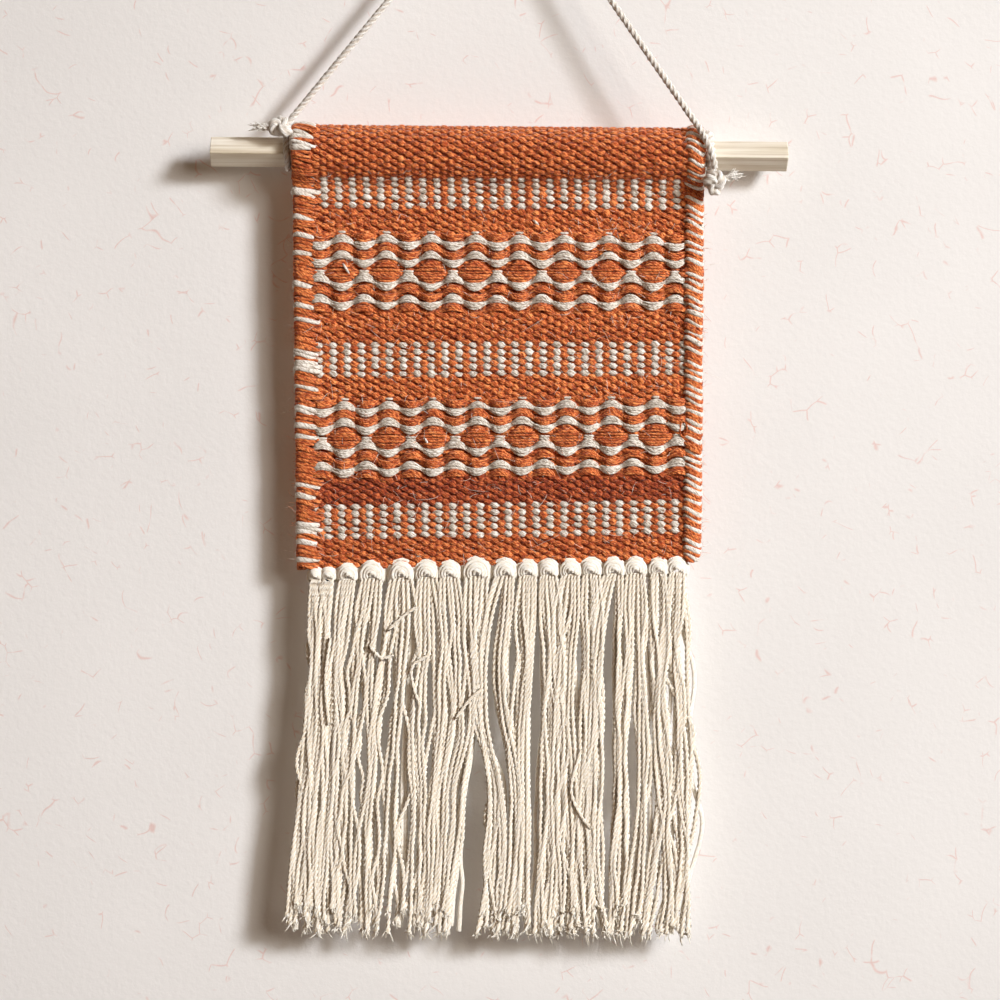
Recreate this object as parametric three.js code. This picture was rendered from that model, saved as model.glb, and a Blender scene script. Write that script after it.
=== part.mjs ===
// A small woven wall hanging: a wool cloth whose top is sewn into a sleeve round a square dowel, with
// seventeen knotted cotton tassels on its lower edge, hung from a nail by one twisted cord.
// Units are millimetres. +X is right, +Y is towards the wall, +Z is up.
// The origin is the nail seat: the underside of the cord where it bends over the nail.

import * as THREE from "three";

// Clearances
const GAP = 0.3; // between pieces that touch
const SIDE_GAP = 0.6; // between neighbouring tassels, which swing past each other

// Dowel
const DOWEL_LENGTH = 254;
const DOWEL_SIDE = 9.5;
const DOWEL_CHAMFER = 0.4;
const DOWEL_TURN = THREE.MathUtils.degToRad(-34); // about its own length, so an edge faces the room
const DOWEL_CENTRE_X = -3.1;
const DOWEL_DROP = 127.4; // nail seat to dowel axis

// Cloth
const CLOTH_THICKNESS = 4;
const CLOTH_TOP_WIDTH = 180.2;
const CLOTH_BOTTOM_WIDTH = 177.2;
const CLOTH_TOP_CENTRE_X = -3.6;
const CLOTH_BOTTOM_CENTRE_X = -1.6;
const CLOTH_DROP_LEFT = 183.8; // dowel axis to lower left corner
const CLOTH_DROP_RIGHT = 178.7; // dowel axis to lower right corner

// Sleeve round the dowel
const SLEEVE_LOOSENESS = 1.5; // radial room round the dowel's corners
const SLEEVE_SIDES = 32;
const SLEEVE_BORE_RADIUS = DOWEL_SIDE / Math.SQRT2 + SLEEVE_LOOSENESS;
const SLEEVE_RADIUS = SLEEVE_BORE_RADIUS + CLOTH_THICKNESS;

// Overcast yarn that binds the cloth's two sides
const BINDING_WALL = 1.1;
const LEFT_BINDING_WIDTH = 9.5;
const RIGHT_BINDING_WIDTH = 7.5;
const CUFF_WALL = 0.6; // how far the binding stands out from the sleeve
const CUFF_RADIUS = SLEEVE_RADIUS + CUFF_WALL;

// Hem seam behind the sleeve
const SEAM_RADIUS = 0.8;
const SEAM_SIDES = 10;

// Knots and tassels
const KNOT_RADIUS = 3.6;
const KNOT_EDGE_GAP = 0.5; // cloth edge to knot
const KNOT_FILL = 0.94; // share of the room between neighbours that a knot takes
const WIDEST_KNOT = 11;
const KNOT_SPOTS = [
  // hand-tied spacing, as shares of the lower edge from its left end
  0.044, 0.076, 0.124, 0.184, 0.257, 0.321, 0.376, 0.444, 0.514, 0.572, 0.622, 0.678, 0.73, 0.785,
  0.84, 0.896, 0.943,
];
const TASSEL_LENGTH = 160;
const TASSEL_TOP_DEPTH = 5;
const TASSEL_DEPTH = 8;
const TASSEL_SHOULDER = 22; // below the knot, where the strands have spread
const FRINGE_FLARE_LEFT = 9; // how far the fringe's lower end spreads past its top
const FRINGE_FLARE_RIGHT = 1.5;

// Hanging cord
const CORD_RADIUS = 1.5;
const CORD_SIDES = 8;
const CORD_STEPS = 80;
const HITCH_CLEARANCE = 0.85; // round the dowel's corners, so the dowel can turn
const HITCH_RADIUS = DOWEL_SIDE / Math.SQRT2 + HITCH_CLEARANCE + CORD_RADIUS;
const HITCH_CLOTH_GAP = 1.3;
const CORD_ROUTE = [
  // left hitch, up to the nail, over it, down to the right knot
  [-97.6, 0, -116],
  [-80, 0, -94.2],
  [-60, 0, -69.4],
  [-40, 0, -44.6],
  [-20, 0, -19.8],
  [-10, 0, -7.4],
  [-4.67, 0, -0.74],
  [-2.5, 0, 0.95],
  [0, 0, 1.5],
  [2.5, 0, 0.95],
  [4.9, 0, -1.06],
  [10, -0.65, -8.47],
  [20, -1.9, -23],
  [40, -4.45, -52],
  [60, -7, -81.1],
  [80.6, -9.6, -111],
  [84.9, -12.3, -117.6],
  [88, -14.1, -123.8],
  [90.2, -13.8, -129.6],
  [91.2, -12.3, -134.2],
];

const wool = new THREE.MeshStandardMaterial({ color: 0xb5592a, roughness: 0.95 });
const bindingWool = new THREE.MeshStandardMaterial({ color: 0xc07a52, roughness: 0.95 });
const cotton = new THREE.MeshStandardMaterial({ color: 0xe8dfcf, roughness: 0.9 });
const cordCotton = new THREE.MeshStandardMaterial({ color: 0xd6d0c4, roughness: 0.9 });
const pine = new THREE.MeshStandardMaterial({ color: 0xdcd2ae, roughness: 0.7 });

const hanging = new THREE.Group();
const atDowel = new THREE.Group(); // holds what is measured from the dowel's axis
atDowel.position.z = -DOWEL_DROP;
hanging.add(atDowel);

function addPiece(group, name, geometry, material) {
  const piece = new THREE.Mesh(geometry, material);
  piece.name = name;
  group.add(piece);
  return piece;
}

// The cloth's outline, measured from the dowel's axis. z is negative down.
function alongCloth(z, atTop, atBottom) {
  const share = -z / ((CLOTH_DROP_LEFT + CLOTH_DROP_RIGHT) / 2);
  return THREE.MathUtils.lerp(atTop, atBottom, share);
}

const leftEdgeAt = (z) =>
  alongCloth(
    z,
    CLOTH_TOP_CENTRE_X - CLOTH_TOP_WIDTH / 2,
    CLOTH_BOTTOM_CENTRE_X - CLOTH_BOTTOM_WIDTH / 2,
  );

const rightEdgeAt = (z) =>
  alongCloth(
    z,
    CLOTH_TOP_CENTRE_X + CLOTH_TOP_WIDTH / 2,
    CLOTH_BOTTOM_CENTRE_X + CLOTH_BOTTOM_WIDTH / 2,
  );

const LOWER_LEFT_X = leftEdgeAt(-CLOTH_DROP_LEFT);
const LOWER_RIGHT_X = rightEdgeAt(-CLOTH_DROP_RIGHT);

function lowerEdgeAt(x) {
  const share = (x - LOWER_LEFT_X) / (LOWER_RIGHT_X - LOWER_LEFT_X);
  return -THREE.MathUtils.lerp(CLOTH_DROP_LEFT, CLOTH_DROP_RIGHT, share);
}

// A closed solid through rings of points, listed from the lowest ring up. Each ring runs
// anticlockwise as seen from above.
function loft(rings) {
  const count = rings[0].length;
  const cap = THREE.ShapeUtils.triangulateShape(
    rings[0].map(([x, y]) => new THREE.Vector2(x, y)),
    [],
  );
  const top = (rings.length - 1) * count;
  const faces = [];
  for (const [a, b, c] of cap) {
    faces.push(c, b, a);
    faces.push(top + a, top + b, top + c);
  }
  for (let ring = 0; ring < rings.length - 1; ring++) {
    for (let i = 0; i < count; i++) {
      const next = (i + 1) % count;
      const [a, b] = [ring * count + i, ring * count + next];
      faces.push(a, b, b + count, a, b + count, a + count);
    }
  }
  const solid = new THREE.BufferGeometry();
  solid.setAttribute("position", new THREE.Float32BufferAttribute(rings.flat(2), 3));
  solid.setIndex(faces);
  return solid;
}

// A tube wall round the X axis.
function pipe(boreRadius, radius, length) {
  const half = length / 2;
  const profile = [
    [boreRadius, -half],
    [radius, -half],
    [radius, half],
    [boreRadius, half],
    [boreRadius, -half],
  ].map(([r, y]) => new THREE.Vector2(r, y));
  return new THREE.LatheGeometry(profile, SLEEVE_SIDES).rotateZ(-Math.PI / 2);
}

function addDowel() {
  const half = DOWEL_SIDE / 2;
  const flat = half - DOWEL_CHAMFER;
  const section = new THREE.Shape(
    [
      [half, -flat],
      [half, flat],
      [flat, half],
      [-flat, half],
      [-half, flat],
      [-half, -flat],
      [-flat, -half],
      [flat, -half],
    ].map(([x, y]) => new THREE.Vector2(x, y)),
  );
  const stick = new THREE.ExtrudeGeometry(section, { depth: DOWEL_LENGTH, bevelEnabled: false });
  stick.translate(0, 0, -DOWEL_LENGTH / 2).rotateY(Math.PI / 2);
  const dowel = addPiece(atDowel, "dowel", stick, pine);
  dowel.position.x = DOWEL_CENTRE_X;
  dowel.rotation.x = DOWEL_TURN;
}

// Sleeve, and the binding round each end of it.
function addSleeve() {
  const left = leftEdgeAt(0);
  const right = rightEdgeAt(0);
  const stretches = [
    ["sleeve_binding_left", left, left + LEFT_BINDING_WIDTH, CUFF_RADIUS, bindingWool],
    [
      "dowel_sleeve",
      left + LEFT_BINDING_WIDTH + GAP,
      right - RIGHT_BINDING_WIDTH - GAP,
      SLEEVE_RADIUS,
      wool,
    ],
    ["sleeve_binding_right", right - RIGHT_BINDING_WIDTH, right, CUFF_RADIUS, bindingWool],
  ];
  for (const [name, from, to, radius, material] of stretches) {
    const piece = addPiece(atDowel, name, pipe(SLEEVE_BORE_RADIUS, radius, to - from), material);
    piece.position.x = (from + to) / 2;
  }
}

// One level of the panel: from x = left to x = right, at the height that heightAt gives.
function slabRing(left, right, heightAt) {
  const half = CLOTH_THICKNESS / 2;
  return [
    [left, -half, heightAt(left)],
    [right, -half, heightAt(right)],
    [right, half, heightAt(right)],
    [left, half, heightAt(left)],
  ];
}

function addPanel() {
  const inset = BINDING_WALL + GAP;
  const topZ = -CUFF_RADIUS - GAP;
  const lower = slabRing(LOWER_LEFT_X + inset, LOWER_RIGHT_X - inset, lowerEdgeAt);
  const upper = slabRing(leftEdgeAt(topZ) + inset, rightEdgeAt(topZ) - inset, () => topZ);
  addPiece(atDowel, "woven_panel", loft([lower, upper]), wool);
}

// The binding's C-shaped section round a side of the panel. outwards is -1 on the left side.
function bindingRing(edgeX, width, outwards, heightAt) {
  const inner = CLOTH_THICKNESS / 2 + GAP;
  const outer = inner + BINDING_WALL;
  const mouth = edgeX - outwards * width;
  const web = edgeX - outwards * BINDING_WALL;
  const ring = [
    [edgeX, -outer],
    [edgeX, outer],
    [mouth, outer],
    [mouth, inner],
    [web, inner],
    [web, -inner],
    [mouth, -inner],
    [mouth, -outer],
  ].map(([x, y]) => [x, y, heightAt(x)]);
  return outwards > 0 ? ring : ring.reverse();
}

function addBinding(name, edgeAt, lowerX, width, outwards) {
  const topZ = -CUFF_RADIUS - GAP;
  const lower = bindingRing(lowerX, width, outwards, lowerEdgeAt);
  const upper = bindingRing(edgeAt(topZ), width, outwards, () => topZ);
  addPiece(atDowel, name, loft([lower, upper]), bindingWool);
}

// The sewn yarn that closes the sleeve, in the crease behind it.
function addHemSeam() {
  const y = CLOTH_THICKNESS / 2 + GAP + SEAM_RADIUS;
  const reach = SLEEVE_RADIUS + GAP + SEAM_RADIUS;
  const z = -Math.sqrt(reach ** 2 - y ** 2);
  const left = Math.max(leftEdgeAt(0), leftEdgeAt(z)) + LEFT_BINDING_WIDTH + 2 * GAP;
  const right = Math.min(rightEdgeAt(0), rightEdgeAt(z)) - RIGHT_BINDING_WIDTH - 2 * GAP;
  const yarn = new THREE.CylinderGeometry(SEAM_RADIUS, SEAM_RADIUS, right - left, SEAM_SIDES);
  const seam = addPiece(atDowel, "hem_seam", yarn.rotateZ(Math.PI / 2), wool);
  seam.position.set((left + right) / 2, y, z);
}

// One level of a tassel: a flat eight-sided ring between two x values.
function tasselRing(left, right, depth, z) {
  const cornerCut = 0.3; // share of the half depth
  const half = depth / 2;
  const cut = half * cornerCut;
  return [
    [left + cut, -half, z],
    [right - cut, -half, z],
    [right, -half + cut, z],
    [right, half - cut, z],
    [right - cut, half, z],
    [left + cut, half, z],
    [left, half - cut, z],
    [left, -half + cut, z],
  ];
}

function addKnot(name, x, width, z) {
  const knot = addPiece(atDowel, name, new THREE.SphereGeometry(1, 12, 8), cotton);
  knot.scale.set(width / 2, KNOT_RADIUS, KNOT_RADIUS);
  knot.position.set(x, 0, z);
}

// A tassel hangs from its knot's centre, which is also where it swings.
function addTassel(name, knotX, knotWidth, knotZ, leftBound, rightBound, lean) {
  const topZ = -KNOT_RADIUS - GAP;
  const endZ = -TASSEL_LENGTH;
  const shoulderShare = TASSEL_SHOULDER / TASSEL_LENGTH;
  const bound = (side, share) => side + lean(side) * share - knotX;
  const rings = [
    tasselRing(bound(leftBound, 1), bound(rightBound, 1), TASSEL_DEPTH, endZ),
    tasselRing(
      bound(leftBound, shoulderShare),
      bound(rightBound, shoulderShare),
      TASSEL_DEPTH,
      -TASSEL_SHOULDER,
    ),
    tasselRing(-knotWidth / 2, knotWidth / 2, TASSEL_TOP_DEPTH, topZ),
  ];
  const tassel = addPiece(atDowel, name, loft(rings), cotton);
  tassel.position.set(knotX, 0, knotZ);
}

function addFringe() {
  const edge = LOWER_RIGHT_X - LOWER_LEFT_X;
  const spots = KNOT_SPOTS.map((share) => LOWER_LEFT_X + share * edge);
  const middles = spots.slice(1).map((x, i) => (x + spots[i]) / 2);
  const bounds = [2 * spots[0] - middles[0], ...middles, 2 * spots.at(-1) - middles.at(-1)];
  const fringeWidth = bounds.at(-1) - bounds[0];
  const lean = (x) =>
    THREE.MathUtils.lerp(-FRINGE_FLARE_LEFT, FRINGE_FLARE_RIGHT, (x - bounds[0]) / fringeWidth);
  spots.forEach((x, i) => {
    const number = String(i + 1).padStart(2, "0");
    const left = bounds[i] + SIDE_GAP / 2;
    const right = bounds[i + 1] - SIDE_GAP / 2;
    const room = 2 * Math.min(x - left, right - x);
    const width = Math.min(WIDEST_KNOT, KNOT_FILL * room);
    const z = lowerEdgeAt(x) - KNOT_EDGE_GAP - KNOT_RADIUS;
    addKnot("knot_" + number, x, width, z);
    addTassel("tassel_" + number, x, width, z, left, right, lean);
  });
}

function addCordSpan() {
  const route = new THREE.CatmullRomCurve3(CORD_ROUTE.map((p) => new THREE.Vector3(...p)));
  const section = new THREE.Shape();
  for (let i = 0; i < CORD_SIDES; i++) {
    const turn = (2 * Math.PI * i) / CORD_SIDES;
    const corner = [CORD_RADIUS * Math.cos(turn), CORD_RADIUS * Math.sin(turn)];
    if (i === 0) section.moveTo(...corner);
    else section.lineTo(...corner);
  }
  const span = new THREE.ExtrudeGeometry(section, {
    steps: CORD_STEPS,
    extrudePath: route,
    bevelEnabled: false,
  });
  addPiece(hanging, "cord_span", span, cordCotton);
}

function addHitch(name, x) {
  const ring = new THREE.TorusGeometry(HITCH_RADIUS, CORD_RADIUS, CORD_SIDES, SLEEVE_SIDES);
  const hitch = addPiece(atDowel, name, ring.rotateY(Math.PI / 2), cordCotton);
  hitch.position.x = x;
}

// A knot against the outside of a hitch, up (positive) or down (negative) from straight ahead.
function addCordKnot(name, x, radii, upAngle) {
  const reach = HITCH_RADIUS + CORD_RADIUS + GAP + Math.max(radii[1], radii[2]);
  const knot = addPiece(atDowel, name, new THREE.SphereGeometry(1, 16, 10), cordCotton);
  knot.scale.set(...radii);
  knot.position.set(x, -reach * Math.cos(upAngle), reach * Math.sin(upAngle));
  return knot.position;
}

// The frayed end of the cord, a short cone that widens away from its knot.
function addTail(name, start, end, startRadius, endRadius) {
  const [from, to] = [start, end].map((p) => new THREE.Vector3(...p));
  const along = to.clone().sub(from);
  const cone = new THREE.CylinderGeometry(endRadius, startRadius, along.length(), 10);
  const tail = addPiece(atDowel, name, cone, cordCotton);
  tail.position.copy(from).addScaledVector(along, 0.5);
  tail.quaternion.setFromUnitVectors(new THREE.Vector3(0, 1, 0), along.normalize());
}

function addCordEnds() {
  const leftX = leftEdgeAt(0) - HITCH_CLOTH_GAP - CORD_RADIUS;
  const rightX = rightEdgeAt(0) + HITCH_CLOTH_GAP + CORD_RADIUS;
  addHitch("cord_hitch_left", leftX);
  addHitch("cord_hitch_right", rightX);

  const leftRadii = [4.6, 4.2, 4.2];
  const leftKnot = addCordKnot(
    "cord_knot_left",
    leftX - leftRadii[0] + GAP,
    leftRadii,
    THREE.MathUtils.degToRad(55),
  );
  const leftOut = leftKnot.x - leftRadii[0] - GAP;
  addTail(
    "cord_tail_left",
    [leftOut, leftKnot.y, leftKnot.z - 1.2],
    [leftOut - 6.4, leftKnot.y + 0.3, leftKnot.z - 3],
    1.4,
    2,
  );

  const rightRadii = [4.7, 4.3, 4.3];
  const rightKnot = addCordKnot(
    "cord_knot_right",
    rightX + 3.1,
    rightRadii,
    THREE.MathUtils.degToRad(-50),
  );
  const rightOut = rightKnot.x + rightRadii[0] + GAP;
  addTail(
    "cord_tail_right",
    [rightOut, rightKnot.y, rightKnot.z + 0.5],
    [rightOut + 5.4, rightKnot.y + 0.4, rightKnot.z + 2.4],
    1.4,
    2.4,
  );
}

addDowel();
addSleeve();
addPanel();
addBinding("edge_binding_left", leftEdgeAt, LOWER_LEFT_X, LEFT_BINDING_WIDTH, -1);
addBinding("edge_binding_right", rightEdgeAt, LOWER_RIGHT_X, RIGHT_BINDING_WIDTH, 1);
addHemSeam();
addFringe();
addCordSpan();
addCordEnds();

export default hanging;
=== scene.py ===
# Looks of a woven wall hanging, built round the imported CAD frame.
# Lengths in this script are in millimetres unless a name says otherwise; meshes are made in metres.
import math

import bpy
import numpy as np
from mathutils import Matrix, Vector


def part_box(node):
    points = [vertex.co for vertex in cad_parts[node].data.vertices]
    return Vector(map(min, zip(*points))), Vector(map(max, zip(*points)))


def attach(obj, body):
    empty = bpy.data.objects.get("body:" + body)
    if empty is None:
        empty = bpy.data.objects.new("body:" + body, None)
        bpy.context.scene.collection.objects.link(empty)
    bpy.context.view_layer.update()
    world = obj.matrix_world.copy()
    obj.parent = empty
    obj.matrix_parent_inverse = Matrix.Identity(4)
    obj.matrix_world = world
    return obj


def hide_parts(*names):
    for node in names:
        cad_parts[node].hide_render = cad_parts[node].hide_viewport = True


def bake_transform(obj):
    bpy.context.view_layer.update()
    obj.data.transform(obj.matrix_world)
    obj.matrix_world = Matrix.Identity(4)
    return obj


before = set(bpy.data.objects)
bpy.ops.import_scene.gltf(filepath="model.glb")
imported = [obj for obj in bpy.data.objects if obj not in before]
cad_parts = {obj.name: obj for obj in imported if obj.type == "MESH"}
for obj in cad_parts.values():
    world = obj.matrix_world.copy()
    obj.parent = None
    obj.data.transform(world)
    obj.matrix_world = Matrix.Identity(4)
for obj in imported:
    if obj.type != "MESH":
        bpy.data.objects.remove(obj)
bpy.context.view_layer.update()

MM = 0.001
TAU = 2 * math.pi
SEED = 7
rng = np.random.default_rng(SEED)  # shared, so the order in which pieces draw from it matters


def box_mm(node):
    low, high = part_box(node)
    return np.array(low) / MM, np.array(high) / MM


def middle_of(node):
    low, high = box_mm(node)
    return (low + high) / 2


def put_in_scene(name, data):
    thing = bpy.data.objects.new(name, data)
    bpy.context.scene.collection.objects.link(thing)
    return thing


def srgb(red, green, blue):
    """A colour given in 0 to 255 display values, as linear light."""
    share = np.array([red, green, blue]) / 255
    linear = np.where(share <= 0.04045, share / 12.92, ((share + 0.055) / 1.055) ** 2.4)
    return (*linear, 1.0)


# ---------------------------------------------------------------- sizes read from the frame
DOWEL_LOW, DOWEL_HIGH = box_mm("dowel")
AXIS_Z = (DOWEL_LOW[2] + DOWEL_HIGH[2]) / 2
SLEEVE_LOW, SLEEVE_HIGH = box_mm("dowel_sleeve")
SLEEVE_OUTER = (SLEEVE_HIGH[2] - SLEEVE_LOW[2]) / 2
CLOTH_HALF = 2.0  # half the cloth's thickness
SLEEVE_EASE = 0.5  # the woven sleeve lies this much outside the plain one
SLEEVE_MID = SLEEVE_OUTER - CLOTH_HALF + SLEEVE_EASE  # radius of the cloth's middle layer there
CUFF_LEFT_LOW, CUFF_LEFT_HIGH = box_mm("sleeve_binding_left")
CUFF_RIGHT_LOW, CUFF_RIGHT_HIGH = box_mm("sleeve_binding_right")
LEFT_WIDTH = CUFF_LEFT_HIGH[0] - CUFF_LEFT_LOW[0]
RIGHT_WIDTH = CUFF_RIGHT_HIGH[0] - CUFF_RIGHT_LOW[0]
EDGE_LEFT_LOW, EDGE_LEFT_HIGH = box_mm("edge_binding_left")
EDGE_RIGHT_LOW, EDGE_RIGHT_HIGH = box_mm("edge_binding_right")
LEFT_TOP_X = CUFF_LEFT_LOW[0]
RIGHT_TOP_X = CUFF_RIGHT_HIGH[0]
LEFT_LOW_X = EDGE_LEFT_HIGH[0] - LEFT_WIDTH
RIGHT_LOW_X = EDGE_RIGHT_HIGH[0]
LOW_LEFT_Z = EDGE_LEFT_LOW[2] - AXIS_Z  # lower corners, from the dowel's axis
LOW_RIGHT_Z = EDGE_RIGHT_LOW[2] - AXIS_Z
LOW_MID_Z = (LOW_LEFT_Z + LOW_RIGHT_Z) / 2
KNOTS = sorted(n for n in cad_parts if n.startswith("knot_"))
TASSELS = sorted(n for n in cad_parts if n.startswith("tassel_"))

# ---------------------------------------------------------------- the cloth's shape
SEAM_Z = -17.5  # where the sleeve has closed into the flat panel
FLAP_Y = 2.9  # the cloth's turned end lies behind the panel
BACK_ANGLE = math.radians(-58)
FRONT_ANGLE = math.radians(234)
CURVE_PULL = 4.0  # how far the sleeve's curve carries on before it bends flat
RISE_POINTS, TURN_POINTS, FALL_POINTS, FLAT_POINTS = 24, 120, 32, 60  # up, round, down, flat
RIPPLE_GROWTH = 60  # the ripples grow over this much cloth below the seam
BROAD, BROAD_LENGTH, BROAD_START = 0.55, 31, 0.6  # height, mm a radian, radians
NARROW, NARROW_LENGTH, NARROW_SLANT = 0.4, 17, 43  # height, mm a radian across and down


def bezier(p0, p1, p2, p3, count):
    t = np.linspace(0, 1, count)[:, None]
    p0, p1, p2, p3 = (np.array(p, float) for p in (p0, p1, p2, p3))
    return (1 - t) ** 3 * p0 + 3 * (1 - t) ** 2 * t * p1 + 3 * (1 - t) * t**2 * p2 + t**3 * p3


def on_sleeve(angle):
    return np.array([SLEEVE_MID * math.cos(angle), SLEEVE_MID * math.sin(angle)])


def way_round(angle):
    """The direction in which the cloth runs where it lies on the sleeve."""
    return np.array([-math.sin(angle), math.cos(angle)])


def cloth_profile():
    """The cloth's middle layer as (y, z) points: up the back, over the dowel, down the front."""
    back, front = on_sleeve(BACK_ANGLE), on_sleeve(FRONT_ANGLE)
    start = np.array([FLAP_Y, SEAM_Z])
    seam = np.array([0.0, SEAM_Z])
    up = [0, CURVE_PULL]
    rise = bezier(start, start + up, back - CURVE_PULL * way_round(BACK_ANGLE), back, RISE_POINTS)
    turn = np.array([on_sleeve(a) for a in np.linspace(BACK_ANGLE, FRONT_ANGLE, TURN_POINTS)])
    fall = bezier(front, front + CURVE_PULL * way_round(FRONT_ANGLE), seam + up, seam, FALL_POINTS)
    flat = np.array([[0.0, z] for z in np.linspace(SEAM_Z, LOW_MID_Z, FLAT_POINTS)])
    return np.vstack([rise, turn[1:], fall[1:], flat[1:]])


PROFILE = cloth_profile()
PROFILE_S = np.concatenate([[0], np.cumsum(np.linalg.norm(np.diff(PROFILE, axis=0), axis=1))])
PROFILE_WAY = np.gradient(PROFILE, PROFILE_S, axis=0)
PROFILE_WAY /= np.linalg.norm(PROFILE_WAY, axis=1)[:, None]
CLOTH_LENGTH = PROFILE_S[-1]
TOP_S = PROFILE_S[RISE_POINTS + TURN_POINTS // 2]  # the front begins here, at the sleeve's top


def s_at(z):
    """Distance along the cloth where its flat or front part is at height z (from the dowel's axis)."""
    front = PROFILE_S > TOP_S
    return np.interp(-np.asarray(z, float), -PROFILE[front, 1], PROFILE_S[front])


def z_at(s):
    """Height of the cloth's middle layer at s, from the dowel's axis."""
    return np.interp(s, PROFILE_S, PROFILE[:, 1])


def lower_edge(x):
    share = (x - LEFT_LOW_X) / (RIGHT_LOW_X - LEFT_LOW_X)
    return LOW_LEFT_Z + share * (LOW_RIGHT_Z - LOW_LEFT_Z)


def left_edge(z):
    share = np.clip(z / LOW_MID_Z, 0, 1)
    return LEFT_TOP_X + share * (LEFT_LOW_X - LEFT_TOP_X)


def right_edge(z):
    share = np.clip(z / LOW_MID_Z, 0, 1)
    return RIGHT_TOP_X + share * (RIGHT_LOW_X - RIGHT_TOP_X)


def ripple(x, z):
    """How far the hanging cloth stands in front of its flat plane."""
    hang = np.clip((SEAM_Z - z) / RIPPLE_GROWTH, 0, 1)
    broad = BROAD * np.sin(x / BROAD_LENGTH + BROAD_START)
    narrow = NARROW * np.sin(x / NARROW_LENGTH - z / NARROW_SLANT)
    return hang * (broad + narrow)


def cloth_point(x, s, height):
    """World points (mm) on the cloth: x across, s along it, height out from its middle layer."""
    x, s, height = np.broadcast_arrays(*(np.asarray(v, float) for v in (x, s, height)))
    y = np.interp(s, PROFILE_S, PROFILE[:, 0])
    z = z_at(s)
    way_y = np.interp(s, PROFILE_S, PROFILE_WAY[:, 0])
    way_z = np.interp(s, PROFILE_S, PROFILE_WAY[:, 1])
    y = y + way_z * height - ripple(x, z)
    z = z - way_y * height
    below = np.minimum(z - SEAM_Z, 0)
    stretch = (lower_edge(x) - SEAM_Z) / (LOW_MID_Z - SEAM_Z)
    z = np.where(below < 0, SEAM_Z + below * stretch, z)
    return np.stack([x, y, z + AXIS_Z], axis=-1)


# ---------------------------------------------------------------- mesh tools
TINY = 1e-9  # keeps a line of no length from dividing by nothing


def unit(v):
    return v / np.maximum(np.linalg.norm(v, axis=-1, keepdims=True), TINY)


def add_attribute(mesh, name, kind, key, values):
    """A value at each point of a mesh, for its material to read."""
    data = mesh.attributes.new(name, kind, "POINT").data
    data.foreach_set(key, values.astype(np.float32).ravel())


def frames_along(paths, first, closed, pinned):
    """Two directions across each path at each point: the first kept near a given direction when
    pinned, or else carried along without twisting."""
    if closed:
        way = unit(np.roll(paths, -1, axis=1) - np.roll(paths, 1, axis=1))
    else:
        way = unit(np.gradient(paths, axis=1))
    if pinned:
        first = np.asarray(first, float)
        first = first[:, None] if first.ndim == 2 else first
        across = unit(first - np.sum(first * way, axis=-1, keepdims=True) * way)
        return across, np.cross(way, across)
    across = np.empty_like(way)
    start = np.broadcast_to(np.asarray(first, float), way[:, 0].shape)
    for i in range(way.shape[1]):
        start = unit(start - np.sum(start * way[:, i], axis=-1, keepdims=True) * way[:, i])
        across[:, i] = start
    return across, np.cross(way, across)


FIBRE_STRETCH = 0.3  # the fibre pattern is drawn out along the yarn
FIBRE_TWIST = 0.55  # and winds round it
FIBRE_SPREAD = 400  # each length of yarn takes its pattern from another place in this range
TIP_SHARE = 0.12  # lower limit of a taper, before the square root that rounds it


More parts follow.
